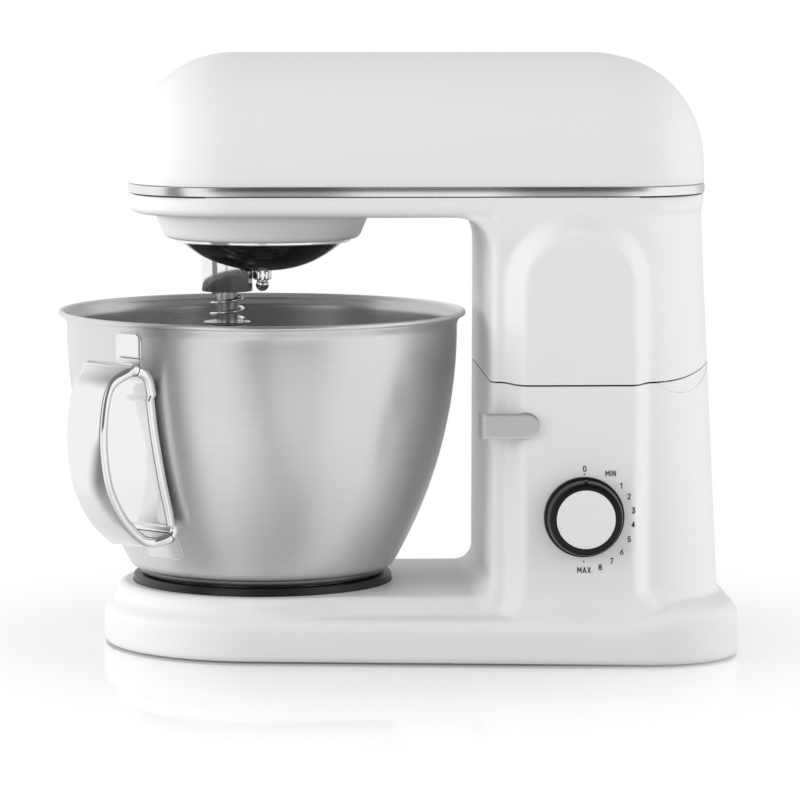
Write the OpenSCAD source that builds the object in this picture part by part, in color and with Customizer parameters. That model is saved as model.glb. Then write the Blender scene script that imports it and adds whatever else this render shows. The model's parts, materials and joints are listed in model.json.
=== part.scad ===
// Tilt-head stand mixer with a planetary beater drive.
// Millimetres, +Z up. The nose points to -X, the column stands at +X and the
// speed dial faces -Y. The origin is the middle of the outline on the table.

/* [Overall] */
// Distance from the bowl axis back to the rear of the base
axis_to_rear = 258; // [254:0.5:262]
// Distance from the bowl axis back to the rear of the head and column
axis_to_back = 241.5; // [239:0.5:244]
// Distance from the bowl axis forward to the tip of the head
axis_to_tip = 73; // [71:0.5:76]
// Height of the top of the head above the table
head_top_z = 325; // [322:1:335]
// Height of the lower edge of the bright band
band_z = 249.5; // [249:0.5:252]
// Height of the underside of the head
head_under_z = 238.5; // [238:0.5:240]
// Height of the seam between the fixed and the tilting half of the column
seam_z = 149; // [146:1:152]
// Wall thickness of the mouldings
wall = 3; // [2.5:0.1:3.2]

/* [Base] */
// Gap between the base moulding and the table
foot_gap = 3; // [2.5:0.5:4]
// Radius of the round front of the base
base_nose_r = 88; // [86:0.5:90]
// Half width of the base at its rear
base_half_w = 108; // [105:1:110]
// Height of the shoulder between the two tiers of the base
shoulder_z = 24; // [23:0.5:25]
// Height of the platform that carries the bowl
platform_z = 34; // [33.5:0.5:35]
// Radius of the platform round the bowl
platform_r = 80; // [79:0.5:82]
// Half width of the platform between bowl and column
platform_half_w = 75; // [73:1:76]
// Radius of the round edges of the base
base_edge_r = 6; // [5:0.5:7]
// Radius of the rear corners of the base
base_corner_r = 50; // [46:1:54]
// Thickness of the bottom plate
plate_t = 2; // [1.5:0.1:2.5]
// Radius of each rubber foot
foot_r = 10; // [8:0.5:12]

/* [Column] */
// Distance from the bowl axis to the front of the column
column_front = 121; // [118:1:124]
// Half width of the column
column_half_w = 74; // [72:1:75]
// Radius of the bulge of the column's front face
column_bulge_r = 330; // [300:10:400]
// Radius of the front corners of the column
column_front_r = 16; // [14:1:20]
// Radius of the fillets above and below the front face
fillet_r = 18; // [15:1:20]
// Distance from the bowl axis to the middle of the arched side panels
arch_x = 170.5; // [168:0.5:173]
// Width of an arched panel across its raised face
arch_face_w = 60; // [56:1:62]
// Width of the sloping border of an arched panel
arch_border = 9; // [7:0.5:10]
// Height of the arched panel above the side of the column
arch_rise = 13; // [12:0.5:14]
// Height above the table at which an arched panel starts to flare
flare_z = 50; // [48:1:52]

/* [Head] */
// Half width of the head
head_half_w = 75; // [74.5:0.5:77]
// Radius of the head's corners and of its top edges
head_corner_r = 57; // [55:1:60]
// Radius of the lower edge of the head
head_lower_r = 8; // [7:0.5:9]
// Height of the bright band
band_h = 5.5; // [5:0.5:6.5]
// How far the band stands out
band_proud = 0.6; // [0.4:0.1:1]
// Radius of the collar where it leaves the head
collar_top_r = 59.5; // [58:0.5:62]
// Radius of the collar at its lower edge
collar_low_r = 53.5; // [53:0.5:55]
// Height of the collar
collar_h = 15; // [14:0.5:16]
// Outer radius of the bright ring under the collar
ring_r = 48.7; // [48.5:0.1:49.5]
// How far the bright ring stands below the collar
ring_drop = 4; // [3:0.5:4.5]

/* [Bowl] */
// How far the rolled rim stands out from the wall under it
rim_out = 4.8; // [4.4:0.2:6]
// Height of the rim above the table
rim_z = 184; // [182:1:186]
// Radius of the rolled edge
rim_roll_r = 2.2; // [1.8:0.1:2.4]
// Thickness of the bowl's sheet
bowl_t = 1; // [0.8:0.1:1.2]
// Radius of the bowl's wall just under the rim
bowl_top_r = 107.5; // [106:0.5:109]
// Radius of the bowl at its bottom edge
bowl_low_r = 69.5; // [69.5:0.5:71]
// Radius of the curve of the bowl's wall, seen from the side
bowl_wall_curve = 260; // [240:5:300]
// Direction in which the handle points, in degrees
handle_angle = -133; // [-140:1:-125]
// Width of the handle's strap
handle_w = 24; // [20:1:26]
// Thickness of the handle's strap
handle_t = 3; // [2.5:0.5:4]
// How far the grip reaches out from the bowl's wall under the rim
grip_out = 34.5; // [31:0.5:38]
// Height of the lower end of the grip
handle_low_z = 62; // [58:1:66]
// Height of the upper end of the grip
handle_high_z = 163; // [158:1:168]
// Angle through which the bowl turns to lock into its seat
bowl_turn = 25; // [20:1:28]

/* [Drive] */
// Radius of the planet carrier
carrier_r = 45.6; // [45:0.2:45.8]
// Depth of the carrier's dome
dome_h = 14.2; // [13:0.2:15]
// Module of the planetary gears
planet_module = 1.25; // [1.2:0.05:1.25]
// Teeth of the fixed ring gear
ring_teeth = 47; // [45:2:49]
// Teeth of the planet pinion
planet_teeth = 16; // [14:2:18]
// Module of the reduction gears
drive_module = 1.5; // [1.4:0.1:1.5]
// Teeth of the large reduction gear
gear_teeth = 56; // [52:2:56]
// Teeth of the reduction pinion
pinion_teeth = 14; // [12:2:16]
// Share of a tooth's thickness left free as backlash
backlash = 0.1; // [0.08:0.01:0.14]
// Radius of the belt on the idler pulley
idler_belt_r = 34; // [30:1:36]
// Radius of the belt on the motor pulley
motor_belt_r = 11.5; // [10:0.5:13]
// Thickness of the belt
belt_t = 2; // [1.5:0.1:2.5]
// Height of the belt
belt_h = 8; // [6:0.5:9]
// Distance from the bowl axis to the motor's axis
motor_x = 187; // [185:1:190]
// Radius of the motor's stator
stator_r = 40; // [36:1:42]
// Radius of the motor's rotor
rotor_r = 25; // [22:1:26]
// Radius of the upright drive shaft
shaft_r = 6; // [5.5:0.1:6.5]

/* [Beater] */
// Radius of the bright spindle sleeve
sleeve_r = 14; // [13:0.5:14.5]
// Height of the lower end of the sleeve above the table
sleeve_low_z = 194; // [192:0.5:196]
// Radius of the beater spindle
spindle_r = 5.8; // [5.4:0.1:6]
// Height of the washer above the table
washer_z = 176; // [175:0.5:177]
// Radius of the washer
washer_r = 13; // [12:0.5:13.5]
// Wire radius of the spindle spring
spring_wire_r = 0.9; // [0.7:0.1:1]
// Half width of the flat beater at its widest
beater_half_w = 46; // [42:1:48]
// Height of the beater's lower edge above the table
beater_low_z = 52; // [50:1:56]
// Thickness of the beater's frame
beater_t = 7; // [6:0.5:8]

/* [Controls] */
// Height of the speed dial's axis above the table
dial_z = 78.7; // [77:0.5:80]
// Radius of the dial knob
dial_r = 20.5; // [19:0.5:21]
// Depth of the dial knob
dial_h = 9; // [8:0.5:10]
// Radius of the satin cap on the dial
dial_cap_r = 15.8; // [15:0.2:16.5]
// Height of the release lever's axis above the table
lever_z = 128; // [126:1:130]
// Height of the release lever's plate
lever_h = 13.5; // [12.5:0.5:15]
// Distance from the bowl axis to the lever's pivot
lever_x = 139; // [138:0.5:142]
// Thickness of the lever's plate
lever_t = 1.6; // [1.4:0.1:2]
// Distance from the lever's pivot to its front flange
lever_reach = 24.5; // [23:0.5:26]
// Length of the flange at the front of the lever
lever_flange = 14; // [11:0.5:16]

/* [Fits] */
// Radial clearance of running fits
run_fit = 0.05; // [0.03:0.01:0.08]
// Gap between pieces that move past each other
move_gap = 0.6; // [0.5:0.05:0.8]
// Gap between the lever's plate and the panel behind it
lever_gap = 0.8; // [0.7:0.1:1]
// Radius of the hinge pin
hinge_pin_r = 4; // [3.5:0.1:4.5]
// Radius of the barrel round the hinge pin
barrel_r = 15; // [14.5:0.1:15.5]
// Shank radius of the small screws
screw_r = 1.5; // [1.4:0.1:2]
// Radius of the hole in the inlet gland that a mains lead passes through
lead_hole_r = 3.6; // [3:0.1:4]

/* [Hidden] */
$fn = 72;

// Places along the table, measured from the middle of the whole outline
rim_r = bowl_top_r + rim_out;
handle_reach = bowl_top_r + grip_out;
bowl_x = (rim_r - axis_to_rear) / 2;
rear_x = bowl_x + axis_to_rear;
back_x = bowl_x + axis_to_back;
tip_x = bowl_x - axis_to_tip;
front_x = bowl_x + column_front;
panel_x = bowl_x + arch_x;
panel_y = column_half_w + arch_rise;
hinge_x = back_x - barrel_r - 0.2;
hinge_z = seam_z + barrel_r - 2;
eps = 0.01;

// Planetary drive
orbit_r = (ring_teeth - planet_teeth) * planet_module / 2;
spindle_x = bowl_x - orbit_r;
collar_low_z = head_under_z - collar_h;
ring_low_z = collar_low_z - ring_drop;
carrier_top_z = collar_low_z + 1.5;
dome_r = (carrier_r * carrier_r + dome_h * dome_h) / (2 * dome_h);
dome_low_z = ring_low_z - dome_h;
floor_z = head_under_z + wall;
frame_t = 5.5;
frame_top_z = floor_z + frame_t;
ring_gear_h = 11;
planet_z = floor_z - ring_gear_h + 1;
planet_h = 9;

// Reduction gears and belt
idler_x = bowl_x + (gear_teeth + pinion_teeth) * drive_module / 2;
motor_axis_x = bowl_x + motor_x;
// The gears, the belt and the ends of the shafts share the room over the frame
gear_h = 10;
drive_room = head_top_z - wall - frame_top_z;
gear_z = frame_top_z + drive_room * 0.2;
belt_z = gear_z + gear_h + drive_room * 0.13;
shaft_top_z = belt_z + belt_h + drive_room * 0.08;
bearing_r = 13;
idler_shaft_r = 5;
motor_shaft_r = 4;
stator_low_z = frame_top_z - 50;
stator_high_z = frame_top_z + 18;

// ---------------------------------------------------------------- helpers

// Rectangle from x0 to x1 and -y1 to y1 with round corners
module round_rect(x0, x1, y1, r) {
    union() {
        translate([x0, -y1 + r]) square([x1 - x0, 2 * (y1 - r)]);
        translate([x0 + r, -y1]) square([x1 - x0 - 2 * r, 2 * y1]);
        for (x = [x0 + r, x1 - r], y = [-y1 + r, y1 - r]) translate([x, y]) circle(r);
    }
}

// Outline of a belt round two circles on the X axis, the larger one first
module belt_outline(x1, r1, x2, r2) {
    a = acos((r1 - r2) / (x2 - x1));
    n = 24;
    polygon(concat(
        [for (i = [0 : n]) let (t = -a + 2 * a * i / n) [x2 + r2 * cos(t), r2 * sin(t)]],
        [for (i = [0 : n]) let (t = a + (360 - 2 * a) * i / n) [x1 + r1 * cos(t), r1 * sin(t)]]));
}

// Sweeps a profile round a rounded rectangle; the profile's x counts outwards
// from the centres of the corners, which lie r inside the rectangle
module ring_sweep(x0, x1, y1, r) {
    xa = x0 + r;
    xb = x1 - r;
    yc = y1 - r;
    translate([xb, yc, 0]) rotate_extrude(angle = 90) children();
    translate([xa, yc, 0]) rotate([0, 0, 90]) rotate_extrude(angle = 90) children();
    translate([xa, -yc, 0]) rotate([0, 0, 180]) rotate_extrude(angle = 90) children();
    translate([xb, -yc, 0]) rotate([0, 0, 270]) rotate_extrude(angle = 90) children();
    translate([xb, -yc, 0]) rotate([90, 0, 180]) mirror([1, 0, 0]) linear_extrude(2 * yc) children();
    translate([xa, yc, 0]) rotate([90, 0, 0]) mirror([1, 0, 0]) linear_extrude(2 * yc) children();
    translate([xa, yc, 0]) rotate([90, 0, 90]) linear_extrude(xb - xa) children();
    translate([xb, -yc, 0]) rotate([90, 0, 270]) linear_extrude(xb - xa) children();
}

// Extrudes a side view (x, z) across the part from y0 to y1
module across(y0, y1) {
    translate([0, y1, 0]) rotate([90, 0, 0]) linear_extrude(y1 - y0) children();
}

// Angle of the side of a gear tooth at radius r, counted from its middle line
function inv(a) = tan(a) * 180 / PI - a;
function tooth_angle(r, n, m, thick) =
    90 / n * thick + inv(20) - inv(acos(min(1, n * m / 2 * cos(20) / r)));

// Gear outline with involute sides; thick is 1 for teeth as wide as their gaps
module gear_outline(n, m, add, ded, thick) {
    rp = n * m / 2;
    rb = rp * cos(20);
    lo = rp - ded;
    radii = [max(lo, rb), max(lo, rb) * 0.5 + rp * 0.5, rp, rp + add * 0.5, rp + add];
    up = [for (r = concat([lo], radii)) [r, -tooth_angle(max(r, rb), n, m, thick)]];
    down = [for (i = [len(up) - 1 : -1 : 0]) [up[i][0], -up[i][1]]];
    polygon([for (k = [0 : n - 1]) for (p = concat(up, down))
        [p[0] * cos(k * 360 / n + p[1]), p[0] * sin(k * 360 / n + p[1])]]);
}

// Tube along a path of points, with rings of n sides in planes that hold +Z
module path_tube(pts, r, n) {
    last = len(pts) - 1;
    rings = [for (i = [0 : last])
        let (d = pts[min(i + 1, last)] - pts[max(i - 1, 0)],
             t = d / norm(d), side = cross([0, 0, 1], t) / norm(cross([0, 0, 1], t)),
             up = cross(t, side))
        [for (k = [0 : n - 1]) pts[i] + r * cos(360 * k / n) * side + r * sin(360 * k / n) * up]];
    polyhedron([for (ring = rings) for (p = ring) p],
        concat([[for (k = [0 : n - 1]) n - 1 - k]],
               [for (i = [0 : last - 1]) for (k = [0 : n - 1])
                   [i * n + k, i * n + (k + 1) % n, (i + 1) * n + (k + 1) % n, (i + 1) * n + k]],
               [[for (k = [0 : n - 1]) last * n + k]]));
}

// ---------------------------------------------------------------- base

// Lower tier: a rounded wedge between the front circle and the rear corners
module lower_tier() {
    low_r = wall - 0.6;
    edges = concat(
        [for (t = [0 : 30 : 90]) [low_r * (1 - sin(t)), foot_gap + low_r * (1 - cos(t))]],
        [for (t = [0 : 22.5 : 90]) [base_edge_r * (1 - cos(t)), shoulder_z - base_edge_r * (1 - sin(t))]]);
    corner_y = base_half_w - base_corner_r;
    hull() for (i = [0 : len(edges) - 2], c = [[bowl_x, 0, base_nose_r],
                                             [rear_x - base_corner_r, corner_y, base_corner_r],
                                             [rear_x - base_corner_r, -corner_y, base_corner_r]])
        translate([c[0], c[1], edges[i][1]])
            cylinder(h = edges[i + 1][1] - edges[i][1], r1 = c[2] - edges[i][0],
                     r2 = c[2] - edges[i + 1][0], $fn = 60);
}

// Inside of the lower tier, seen from above
module tier_cavity_plan() {
    hull() {
        translate([bowl_x, 0]) circle(base_nose_r - wall, $fn = 60);
        for (s = [-1, 1]) translate([rear_x - base_corner_r, s * (base_half_w - base_corner_r)])
            circle(base_corner_r - wall, $fn = 60);
    }
}

module upper_tier() {
    h = platform_z - shoulder_z;
    r = base_edge_r - 1;
    translate([bowl_x, 0, 0]) rotate_extrude() union() {
        translate([0, shoulder_z - 1]) square([platform_r, h + 1 - r]);
        translate([0, platform_z - r - eps]) square([platform_r - r, r + eps]);
        translate([platform_r - r, platform_z - r]) circle(r);
    }
    translate([bowl_x, 0, 0]) rotate([90, 0, 90]) linear_extrude(column_front + 40) union() {
        translate([-platform_half_w, shoulder_z - 1]) square([2 * platform_half_w, h + 1 - r]);
        translate([-platform_half_w + r, platform_z - r - eps])
            square([2 * (platform_half_w - r), r + eps]);
        for (s = [-1, 1]) translate([s * (platform_half_w - r), platform_z - r]) circle(r);
    }
}

// Column seen from above, grown by g on all sides
module column_plan(g) {
    front = front_x + 6;
    rear_r = 46;
    union() {
        translate([front - g, -column_half_w + column_front_r])
            square([back_x - front - rear_r + g, 2 * (column_half_w - column_front_r)]);
        translate([front + column_front_r, -column_half_w - g])
            square([back_x - front - column_front_r - rear_r, 2 * (column_half_w + g)]);
        translate([back_x - rear_r - 1, -column_half_w + rear_r])
            square([rear_r + 1 + g, 2 * (column_half_w - rear_r)]);
        for (s = [-1, 1]) {
            translate([front + column_front_r, s * (column_half_w - column_front_r)])
                circle(column_front_r + g);
            translate([back_x - rear_r, s * (column_half_w - rear_r)]) circle(rear_r + g);
        }
        intersection() {
            translate([front_x + column_bulge_r, 0]) circle(column_bulge_r + g, $fn = 360);
            translate([front_x - 2, -column_half_w + column_front_r - 2])
                square([20, 2 * (column_half_w - column_front_r + 2)]);
        }
    }
}

// Sloping border and raised face of an arched side panel above height z0
module arched_panel(z0) {
    r = arch_face_w / 2;
    top = head_under_z - 6 - arch_border;
    for (s = [-1, 1]) hull() {
        across(s > 0 ? column_half_w - 3 : -column_half_w + 2, s > 0 ? column_half_w - 2 : -column_half_w + 3)
            arch_shape(r + arch_border, top, z0);
        across(s > 0 ? panel_y - 1 : -panel_y, s > 0 ? panel_y : -panel_y + 1)
            arch_shape(r, top, z0);
    }
}

module arch_shape(r, top, z0) {
    union() {
        translate([panel_x, top - arch_face_w / 2]) circle(r, $fn = 48);
        translate([panel_x - r, z0]) square([2 * r, top - arch_face_w / 2 - z0]);
    }
}

// Lower end of an arched panel, which widens into the base
module panel_flare() {
    r = arch_face_w / 2;
    for (s = [-1, 1]) hull() {
        translate([panel_x - r, s > 0 ? column_half_w - 3 : -panel_y, flare_z])
            cube([2 * r, arch_rise + 3, 1]);
        translate([panel_x - r - arch_border, s > 0 ? column_half_w - 3 : -column_half_w + 2, flare_z])
            cube([2 * (r + arch_border), 1, 1]);
        translate([panel_x - r - 12, s > 0 ? column_half_w - 3 : -base_half_w + 6, shoulder_z - 3])
            cube([2 * r + 24, base_half_w - 6 - column_half_w + 3, 1]);
    }
}

// Straight middle stretch of the fixed panels, from the flare to the seam
module panel_run() {
    r = arch_face_w / 2;
    for (s = [-1, 1]) hull() {
        translate([panel_x - r, s > 0 ? panel_y - 1 : -panel_y, flare_z]) cube([2 * r, 1, seam_z - flare_z]);
        translate([panel_x - r - arch_border, s > 0 ? column_half_w - 3 : -column_half_w + 2, flare_z])
            cube([2 * (r + arch_border), 1, seam_z - flare_z]);
    }
}

seat_r = bowl_low_r + 2;
seat_floor_z = platform_z - 6.5;
seat_screw_at = seat_r - 3.4;
deck_z = seam_z - wall;
tongue_y = 34;
tongue_t = 8;
tongue_r = 8;
block_z = seam_z - 13;

foot_places = [[bowl_x - base_nose_r + 22, 0], [bowl_x + 95, 70], [bowl_x + 95, -70],
               [rear_x - 32, 72], [rear_x - 32, -72]];
bottom_screw_places = [[bowl_x, 70], [bowl_x, -70], [bowl_x + 150, 86], [bowl_x + 150, -86]];
seat_screw_angles = [30, 150, 270];

module base_housing() {
    color("whitesmoke") difference() {
        union() {
            lower_tier();
            upper_tier();
            translate([0, 0, shoulder_z - 2]) linear_extrude(seam_z - shoulder_z + 2) column_plan(0);
            rear_lip();
            panel_run();
            panel_flare();
            across(-column_half_w + column_front_r + 4, column_half_w - column_front_r - 4)
                translate([front_x + 6 - fillet_r, platform_z - 1]) difference() {
                    square([fillet_r + 2, fillet_r + 0.5]);
                    translate([0, fillet_r + 0.5]) circle(fillet_r - 0.2);
                }
        }
        // hollow of the base and of the column
        translate([0, 0, foot_gap - 1]) linear_extrude(shoulder_z - wall - foot_gap + 1)
            tier_cavity_plan();
        translate([0, 0, shoulder_z - wall - 1]) linear_extrude(deck_z - shoulder_z + wall + 1)
            difference() {
                column_plan(-wall);
                translate([hinge_x - barrel_r - wall - 1, -column_half_w]) square([60, 2 * column_half_w]);
            }
        translate([0, 0, shoulder_z - wall - 1]) linear_extrude(block_z - shoulder_z + wall + 1)
            intersection() {
                column_plan(-wall);
                translate([hinge_x - barrel_r - wall - 2, -column_half_w]) square([60, 2 * column_half_w]);
            }
        // recess of the bowl seat
        translate([bowl_x, 0, seat_floor_z]) cylinder(h = 20, r = seat_r);
        for (a = seat_screw_angles) translate([bowl_x, 0, 0]) rotate([0, 0, a])
            translate([seat_screw_at, 0, shoulder_z - wall - 1]) cylinder(h = 20, r = screw_r, $fn = 24);
        // trough round the hinge barrel and pockets of the hinge bracket
        translate([hinge_x, 0, hinge_z]) rotate([90, 0, 0])
            cylinder(h = 2 * column_half_w + 10, r = barrel_r + move_gap, center = true);
        for (s = [-1, 1]) translate([hinge_x - tongue_r - 0.1, s * tongue_y - tongue_t / 2 - 0.1, block_z - 1])
            cube([2 * tongue_r + 0.2, tongue_t + 0.2, 20]);
        // dial shaft, lever pin and inlet
        translate([panel_x, 0, dial_z]) rotate([90, 0, 0]) cylinder(h = 150, r = 9);
        translate([bowl_x + lever_x, -column_half_w + 20, lever_z]) rotate([90, 0, 0])
            cylinder(h = 60, r = bush_r);
        translate([rear_x - 30, gland_y, gland_z]) rotate([0, 90, 0]) cylinder(h = 60, r = gland_r);
        // latch hook
        translate([striker_x - 14, striker_y - 8, deck_z - 1]) cube([28, 16, wall + 2]);
    }
}

// Lip of the fixed column that rises behind the hinge barrel
module rear_lip() {
    translate([0, 0, seam_z - 1]) linear_extrude(5) intersection() {
        column_plan(0);
        translate([hinge_x + 8, -46]) square([40, 92]);
    }
}

module bottom_plate() {
    color("dimgray") difference() {
        translate([0, 0, foot_gap]) linear_extrude(plate_t) tier_cavity_plan();
        for (p = foot_places) translate([p[0], p[1], 0]) cylinder(h = 20, r = 4, $fn = 32);
        for (p = bottom_screw_places) translate([p[0], p[1], 0]) cylinder(h = 20, r = screw_r, $fn = 24);
    }
}

module feet() {
    color("black") for (p = foot_places) translate([p[0], p[1], 0]) union() {
        cylinder(h = foot_gap, r = foot_r, $fn = 48);
        cylinder(h = foot_gap + plate_t, r = 4, $fn = 32);
        translate([0, 0, foot_gap + plate_t]) cylinder(h = 2, r = 6, $fn = 32);
    }
}

module bottom_screws() {
    color("silver") for (p = bottom_screw_places) translate([p[0], p[1], 0]) union() {
        translate([0, 0, foot_gap - 1.6]) cylinder(h = 1.6, r = 3.5, $fn = 32);
        translate([0, 0, foot_gap - 1]) cylinder(h = 8, r = screw_r, $fn = 24);
    }
}

// ---------------------------------------------------------------- bowl seat

seat_top_z = platform_z + 4;
ledge_z = seat_floor_z + 5.5;
foot_ring_r = bowl_low_r - 7;

module bowl_seat() {
    color("black") difference() {
        translate([bowl_x, 0, 0]) rotate_extrude() difference() {
            translate([0, seat_floor_z]) square([seat_r, seat_top_z - seat_floor_z]);
            translate([-1, seat_floor_z - 1]) square([foot_ring_r + 1 + move_gap, 20]);
            translate([0, seat_floor_z - 1]) square([foot_ring_r + 5, ledge_z - seat_floor_z + 1]);
        }
        for (a = [60, 180, 300]) translate([bowl_x, 0, ledge_z - 1]) rotate([0, 0, a])
            intersection() {
                cylinder(h = 20, r = foot_ring_r + 4.5);
                translate([0, -12, 0]) cube([80, 24, 20]);
            }
        for (a = seat_screw_angles) translate([bowl_x, 0, 0]) rotate([0, 0, a])
            translate([seat_screw_at, 0, 0]) {
                cylinder(h = 60, r = screw_r, $fn = 24);
                translate([0, 0, seat_top_z - 2]) cylinder(h = 10, r = 2.3, $fn = 32);
            }
    }
}

module seat_screws() {
    color("silver") for (a = seat_screw_angles) translate([bowl_x, 0, 0]) rotate([0, 0, a])
        translate([seat_screw_at, 0, 0]) union() {
            translate([0, 0, seat_top_z - 2]) cylinder(h = 1.5, r = 2.2, $fn = 32);
            translate([0, 0, seat_floor_z - 5]) cylinder(h = seat_top_z - 2 - seat_floor_z + 5 + eps,
                                                         r = screw_r, $fn = 24);
        }
}

// ---------------------------------------------------------------- controls on the column

dial_ring_t = 3;
dial_back_y = -panel_y - dial_ring_t - 0.4;
bush_r = 7;
gland_y = 40;
gland_z = 14;
gland_r = 8;

module dial_ring() {
    color("black") translate([panel_x, -panel_y, dial_z]) rotate([90, 0, 0]) difference() {
        union() {
            cylinder(h = dial_ring_t, r = dial_r + 1.2);
            translate([0, 0, -6]) cylinder(h = 6, r = 9);
        }
        translate([0, 0, -10]) cylinder(h = 30, r = dial_shaft_r + 0.5);
    }
}

dial_shaft_r = 3;

module dial_knob() {
    color("black") translate([panel_x, dial_back_y, dial_z]) rotate([90, 0, 0]) difference() {
        union() {
            cylinder(h = 2, r = dial_r);
            translate([0, 0, 2]) cylinder(h = dial_h - 2, r1 = dial_r, r2 = dial_r - 1);
        }
        translate([0, 0, -1]) cylinder(h = dial_h - 2, r = dial_shaft_r);
        translate([0, 0, dial_h - 1]) cylinder(h = 2, r = dial_cap_r);
    }
}

module dial_cap() {
    color("silver") translate([panel_x, dial_back_y - dial_h + 1, dial_z]) rotate([90, 0, 0])
        difference() {
            cylinder(h = 1.6, r = dial_cap_r);
            translate([-1.2, dial_cap_r - 5, 1]) cube([2.4, 6, 2]);
        }
}

module dial_shaft() {
    color("gray") translate([panel_x, dial_back_y - dial_h + 3, dial_z]) rotate([-90, 0, 0])
        cylinder(h = panel_y - column_half_w + dial_h + 14, r = dial_shaft_r);
}

pot_y = -column_half_w + wall;

module speed_pot() {
    color("steelblue") translate([panel_x, pot_y + 6, dial_z]) rotate([-90, 0, 0]) difference() {
        union() {
            cylinder(h = 9, r = 10);
            translate([-8, 6, 0]) cube([16, 10, 7]);
        }
        translate([0, 0, -1]) cylinder(h = 9, r = dial_shaft_r + run_fit);
    }
}

module control_board() {
    color("darkgreen") union() {
        translate([panel_x - 40, pot_y + 15, dial_z - 32]) cube([80, 1.6, 62]);
        for (x = [-30, 26], z = [-26, 22]) translate([panel_x + x, pot_y, dial_z + z])
            cube([4, 15 + eps, 4]);
        translate([panel_x - 26, pot_y + 16.6, dial_z - 24]) cube([22, 16, 26]);
        translate([panel_x + 18, pot_y + 22.6, dial_z - 10]) rotate([90, 0, 0]) cylinder(h = 6, r = 7, $fn = 32);
        translate([panel_x + 18, pot_y + 22.6, dial_z + 12]) rotate([90, 0, 0]) cylinder(h = 6, r = 5, $fn = 32);
    }
}

module cord_gland() {
    color("black") translate([rear_x, gland_y, gland_z]) rotate([0, 90, 0]) difference() {
        union() {
            translate([0, 0, -wall - 1]) cylinder(h = wall + 1, r = gland_r);
            translate([0, 0, -wall - 5]) cylinder(h = 4, r = gland_r - 1);
        }
        translate([0, 0, -20]) cylinder(h = 40, r = lead_hole_r);
    }
}

module hinge_bracket() {
    color("slategray") difference() {
        union() {
            translate([hinge_x - 15, -tongue_y - 9, block_z - 4]) cube([24, 2 * tongue_y + 18, 4]);
            for (s = [-1, 1]) {
                translate([hinge_x - tongue_r, s * tongue_y - tongue_t / 2, block_z - eps])
                    cube([2 * tongue_r, tongue_t, hinge_z - block_z]);
                translate([hinge_x, s * tongue_y, hinge_z]) rotate([90, 0, 0])
                    cylinder(h = tongue_t, r = tongue_r, center = true);
            }
        }
        translate([hinge_x, 0, hinge_z]) rotate([90, 0, 0]) cylinder(h = 200, r = hinge_pin_r, center = true);
    }
}

module hinge_pin() {
    color("silver") translate([hinge_x, 0, hinge_z]) rotate([90, 0, 0])
        cylinder(h = 2 * tongue_y + tongue_t + 2, r = hinge_pin_r, center = true);
}

lever_pin_r = 4;
bush_end_y = column_half_w - column_front_r + 3;
lever_back_y = -panel_y - lever_gap;
lever_tip_x = bowl_x + lever_x - lever_reach;

module lever_bush() {
    color("dimgray") translate([bowl_x + lever_x, -panel_y, lever_z]) rotate([-90, 0, 0]) difference() {
        cylinder(h = panel_y - bush_end_y, r = bush_r);
        translate([0, 0, -2]) cylinder(h = 40, r = lever_pin_r + run_fit);
    }
}

// Flat bar with a round end at the pivot and a flange bent round the front
module release_lever() {
    bend_r = 3;
    color("gainsboro") union() {
        across(lever_back_y - lever_t, lever_back_y) union() {
            translate([bowl_x + lever_x, lever_z]) circle(lever_h / 2);
            translate([lever_tip_x + bend_r, lever_z - lever_h / 2])
                square([lever_reach - bend_r, lever_h]);
        }
        translate([lever_tip_x + bend_r, lever_back_y - lever_t + bend_r, lever_z - lever_h / 2])
            rotate([0, 0, 180]) rotate_extrude(angle = 90)
                translate([bend_r - lever_t, 0]) square([lever_t, lever_h]);
        translate([lever_tip_x, lever_back_y - lever_t + bend_r, lever_z - lever_h / 2])
            cube([lever_t, lever_flange, lever_h]);
    }
}

module lever_pin() {
    color("silver") translate([bowl_x + lever_x, lever_back_y, lever_z])
        rotate([-90, 0, 0]) cylinder(h = panel_y - column_half_w + 30, r = lever_pin_r);
}

// ---------------------------------------------------------------- latch

striker_x = bowl_x + lever_x;
striker_y = -column_half_w + 24;
striker_r = 2.5;

module latch_hook() {
    color("slategray") translate([bowl_x + lever_x, striker_y + 6, lever_z]) rotate([90, 0, 0])
        difference() {
            union() {
                cylinder(h = 6, r = 8, $fn = 48);
                translate([3, 0, 0]) cube([5, seam_z - lever_z - 6, 6]);
            }
            translate([0, 0, -1]) cylinder(h = 8, r = lever_pin_r);
        }
}

module latch_striker() {
    color("silver") translate([striker_x - 9, striker_y - 5, 0]) union() {
        translate([0, 0, seam_z + move_gap + wall]) cube([14, 10, 3]);
        translate([0, 0, seam_z - 5]) cube([3, 10, wall + 5 + move_gap + eps]);
    }
}

// ---------------------------------------------------------------- head

module head_half_profile(r_out, r_in) {
    // quarter arc of the shell on a straight wall, counted from the corner centre
    z_arc = head_top_z - head_corner_r;
    intersection() {
        union() {
            translate([0, z_arc]) difference() {
                circle(r_out);
                circle(r_in);
            }
            translate([r_in, band_z + band_h]) square([r_out - r_in, z_arc - band_z - band_h]);
        }
        translate([0, band_z + band_h]) square([r_out + 1, head_top_z]);
    }
}

module head_cover() {
    color("whitesmoke") union() {
        ring_sweep(tip_x, back_x, head_half_w, head_corner_r)
            head_half_profile(head_corner_r, head_corner_r - wall);
        translate([tip_x + head_corner_r - eps, -head_half_w + head_corner_r - eps, head_top_z - wall])
            cube([back_x - tip_x - 2 * head_corner_r + 2 * eps, 2 * (head_half_w - head_corner_r) + 2 * eps, wall]);
    }
}

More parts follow.
